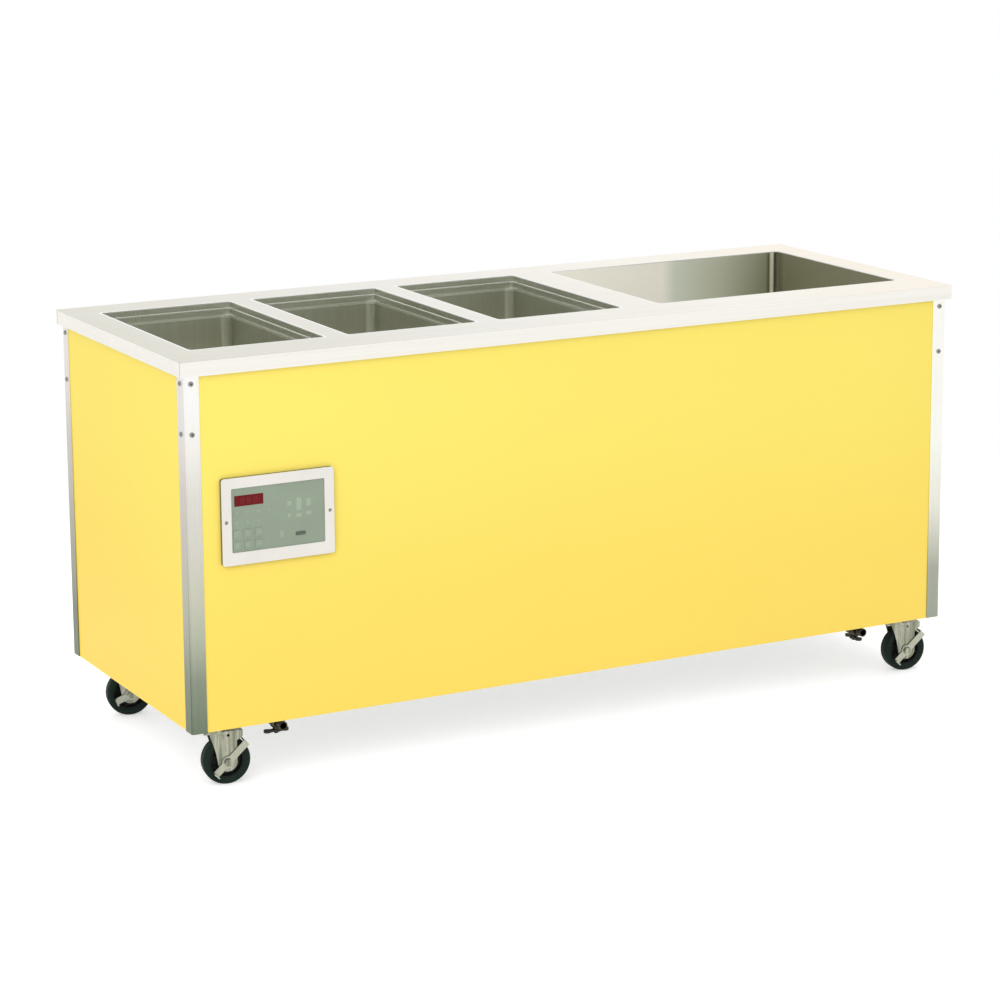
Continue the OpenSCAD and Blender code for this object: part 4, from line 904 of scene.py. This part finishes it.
class STATION_OT_casters(Operator):
    """Finishes the casters"""
    bl_idname = "station.casters"
    bl_label = "Casters"

    def execute(self, context):
        look = context.scene.station_casters
        zinc = plated("zinc_plate", look.zinc)
        dress(["caster_plates", "caster_bolts"], zinc, edge=0.4 * MM)
        fork = plated("fork_zinc", shade(look.zinc, 0.80))
        fork.tinted(fork.ramp(fork.noise((120.0, 120.0, 9.0), detail=3.0), FORK_STREAKS))
        dress(["fork_" + corner for corner in CORNERS], fork, edge=0.6 * MM)
        dress(["brake_" + corner for corner in CORNERS], plated("brake_steel", look.zinc), edge=0.6 * MM)
        tyre = rubber("tyre_rubber", look.tyre)
        core = moulded("wheel_core", (0.006, 0.007, 0.0065), roughness=0.5, specular=0.2)
        for corner in CORNERS:
            joint = JOINTS["roll_" + corner]
            turn = Vector(joint["axis"]).to_track_quat("Y", "Z").to_matrix().to_4x4()
            place = Matrix.Translation(Vector(joint["pos_m"])) @ turn
            low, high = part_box("wheel_" + corner)
            for part, mesh, finish in (
                    ("tyre_", self.tyre(look, (high.z - low.z) / 2), tyre),
                    ("core_", self.core(look), core)):
                add_piece(part + corner, mesh, finish, "wheel_" + corner,
                          replaces=["wheel_" + corner], place=place)
        return {"FINISHED"}

    def tyre(self, look, outer):
        """A tyre with round shoulders and two grooves."""
        half, soft = 15 * MM, 6.4 * MM
        wall, seat, step = 12 * MM, 15 * MM, 2 * MM
        groove_at, groove_depth = 3.8 * MM, 0.7 * MM
        mouth_half, floor_half = 0.8 * MM, 0.4 * MM
        shoulder_steps = 8
        profile = [(outer - seat, -half + step), (outer - wall, -half)]
        profile += arc((outer - soft, -half + soft), soft, -90, 0, shoulder_steps)
        for side in (-1, 1):
            middle = side * groove_at
            profile += [(outer, middle - mouth_half), (outer - groove_depth, middle - floor_half),
                        (outer - groove_depth, middle + floor_half), (outer, middle + mouth_half)]
        profile += arc((outer - soft, half - soft), soft, 0, 90, shoulder_steps)
        profile += [(outer - wall, half), (outer - seat, half - step)]
        mesh = bmesh.new()
        lathe(mesh, profile, look.steps)
        return mesh

    def core(self, look):
        """A dished core with eight ribs on each side."""
        # The radius and the half width of the core's side, from the bore outwards, in mm
        side = [(5.1, 18.2), (13.5, 18.2), (15, 16.7), (16.5, 9), (20, 5), (31, 5), (33, 7), (33.5, 12.2),
                (36.8, 12.8)]
        profile = [(r * MM, -w * MM) for r, w in side] + [(r * MM, w * MM) for r, w in reversed(side)]
        mesh = bmesh.new()
        lathe(mesh, profile, look.steps)
        near, far, half, low, high = 15 * MM, 33.6 * MM, 1.3 * MM, 4.5 * MM, 9.5 * MM
        rib = [(near, -half), (far, -half), (far, half), (near, half)]
        count, first = 8, 20
        for k in range(count):
            turn = Matrix.Rotation(math.radians(360 / count * k + first), 3, "Y")
            for s in (-1, 1):
                plate(mesh, rib, low, high, lambda u, v, w: turn @ Vector((u, s * w, v)))
        return mesh


class STATION_OT_drains(Operator):
    """Finishes the drain pipes, valves and handles"""
    bl_idname = "station.drains"
    bl_label = "Drains"

    def execute(self, context):
        pipe = drawn_tube("drain_copper", (0.62, 0.32, 0.16))
        joint = min(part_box(name)[0].z for name in ("hot_well_1", "cold_pan"))
        pipe.painted(pipe.above(pipe.axis("Z"), joint), (0.70, 0.70, 0.66))
        dress(["hot_drain_pipe", "cold_drain_pipe"], pipe, edge=0.3 * MM)
        dress(["drain_valves"], drawn_tube("valve_brass", (0.055, 0.048, 0.030)), edge=0.3 * MM)
        dress(["hot_valve_handle", "cold_valve_handle"],
              moulded("handle_plastic", (0.015, 0.017, 0.015)), edge=0.8 * MM)
        return {"FINISHED"}


class STATION_OT_machinery(Operator):
    """Finishes the insulation, heating parts and cooling unit"""
    bl_idname = "station.machinery"
    bl_label = "Heating and cooling"

    def execute(self, context):
        dress(["well_insulation"], fibrous("glass_fibre_board", (0.72, 0.64, 0.42)), edge=1.0 * MM)
        dress(["cold_pan_insulation"], fibrous("rigid_foam", (0.74, 0.66, 0.38)), edge=1.0 * MM)
        dress(["heating_elements"], drawn_tube("element_sheath", (0.20, 0.18, 0.16), (0.4, 0.6)))
        dress(["temperature_probes", "refrigerant_tubing"], drawn_tube("tube_copper", (0.70, 0.34, 0.18)))
        enamel = powder_coat("machine_enamel", (0.012, 0.012, 0.013), roughness=0.3)
        dress(["compressor", "fan_motor"], enamel, edge=0.8 * MM)
        dress(["condenser_coil"], brushed("coil_fins", (0.50, 0.51, 0.51), "Z"))
        dress(["fan_blade"], moulded("fan_plastic", (0.03, 0.16, 0.32)), edge=0.4 * MM)
        return {"FINISHED"}


class STATION_PT_sidebar(Panel):
    """Lists the steps that dress the station"""
    bl_idname = "STATION_PT_sidebar"
    bl_label = "Food station"
    bl_space_type = "VIEW_3D"
    bl_region_type = "UI"
    bl_category = "Station"

    def draw(self, context):
        for operator in OPERATORS:
            self.layout.operator(operator.bl_idname)


SETTINGS = {
    "station_stage": StageSettings,
    "station_counter": CounterSettings,
    "station_cabinet": CabinetSettings,
    "station_controls": ControlSettings,
    "station_casters": CasterSettings,
}
OPERATORS = (
    STATION_OT_stage,
    STATION_OT_counter,
    STATION_OT_cabinet,
    STATION_OT_controls,
    STATION_OT_casters,
    STATION_OT_drains,
    STATION_OT_machinery,
)


def register():
    for group in SETTINGS.values():
        bpy.utils.register_class(group)
    for operator in OPERATORS:
        bpy.utils.register_class(operator)
    bpy.utils.register_class(STATION_PT_sidebar)
    for name, group in SETTINGS.items():
        setattr(bpy.types.Scene, name, PointerProperty(type=group))


def unregister():
    for name in SETTINGS:
        delattr(bpy.types.Scene, name)
    bpy.utils.unregister_class(STATION_PT_sidebar)
    for operator in reversed(OPERATORS):
        bpy.utils.unregister_class(operator)
    for group in reversed(list(SETTINGS.values())):
        bpy.utils.unregister_class(group)


def main():
    register()
    for operator in OPERATORS:
        group, step = operator.bl_idname.split(".")
        getattr(getattr(bpy.ops, group), step)()


if __name__ == "__main__":
    main()
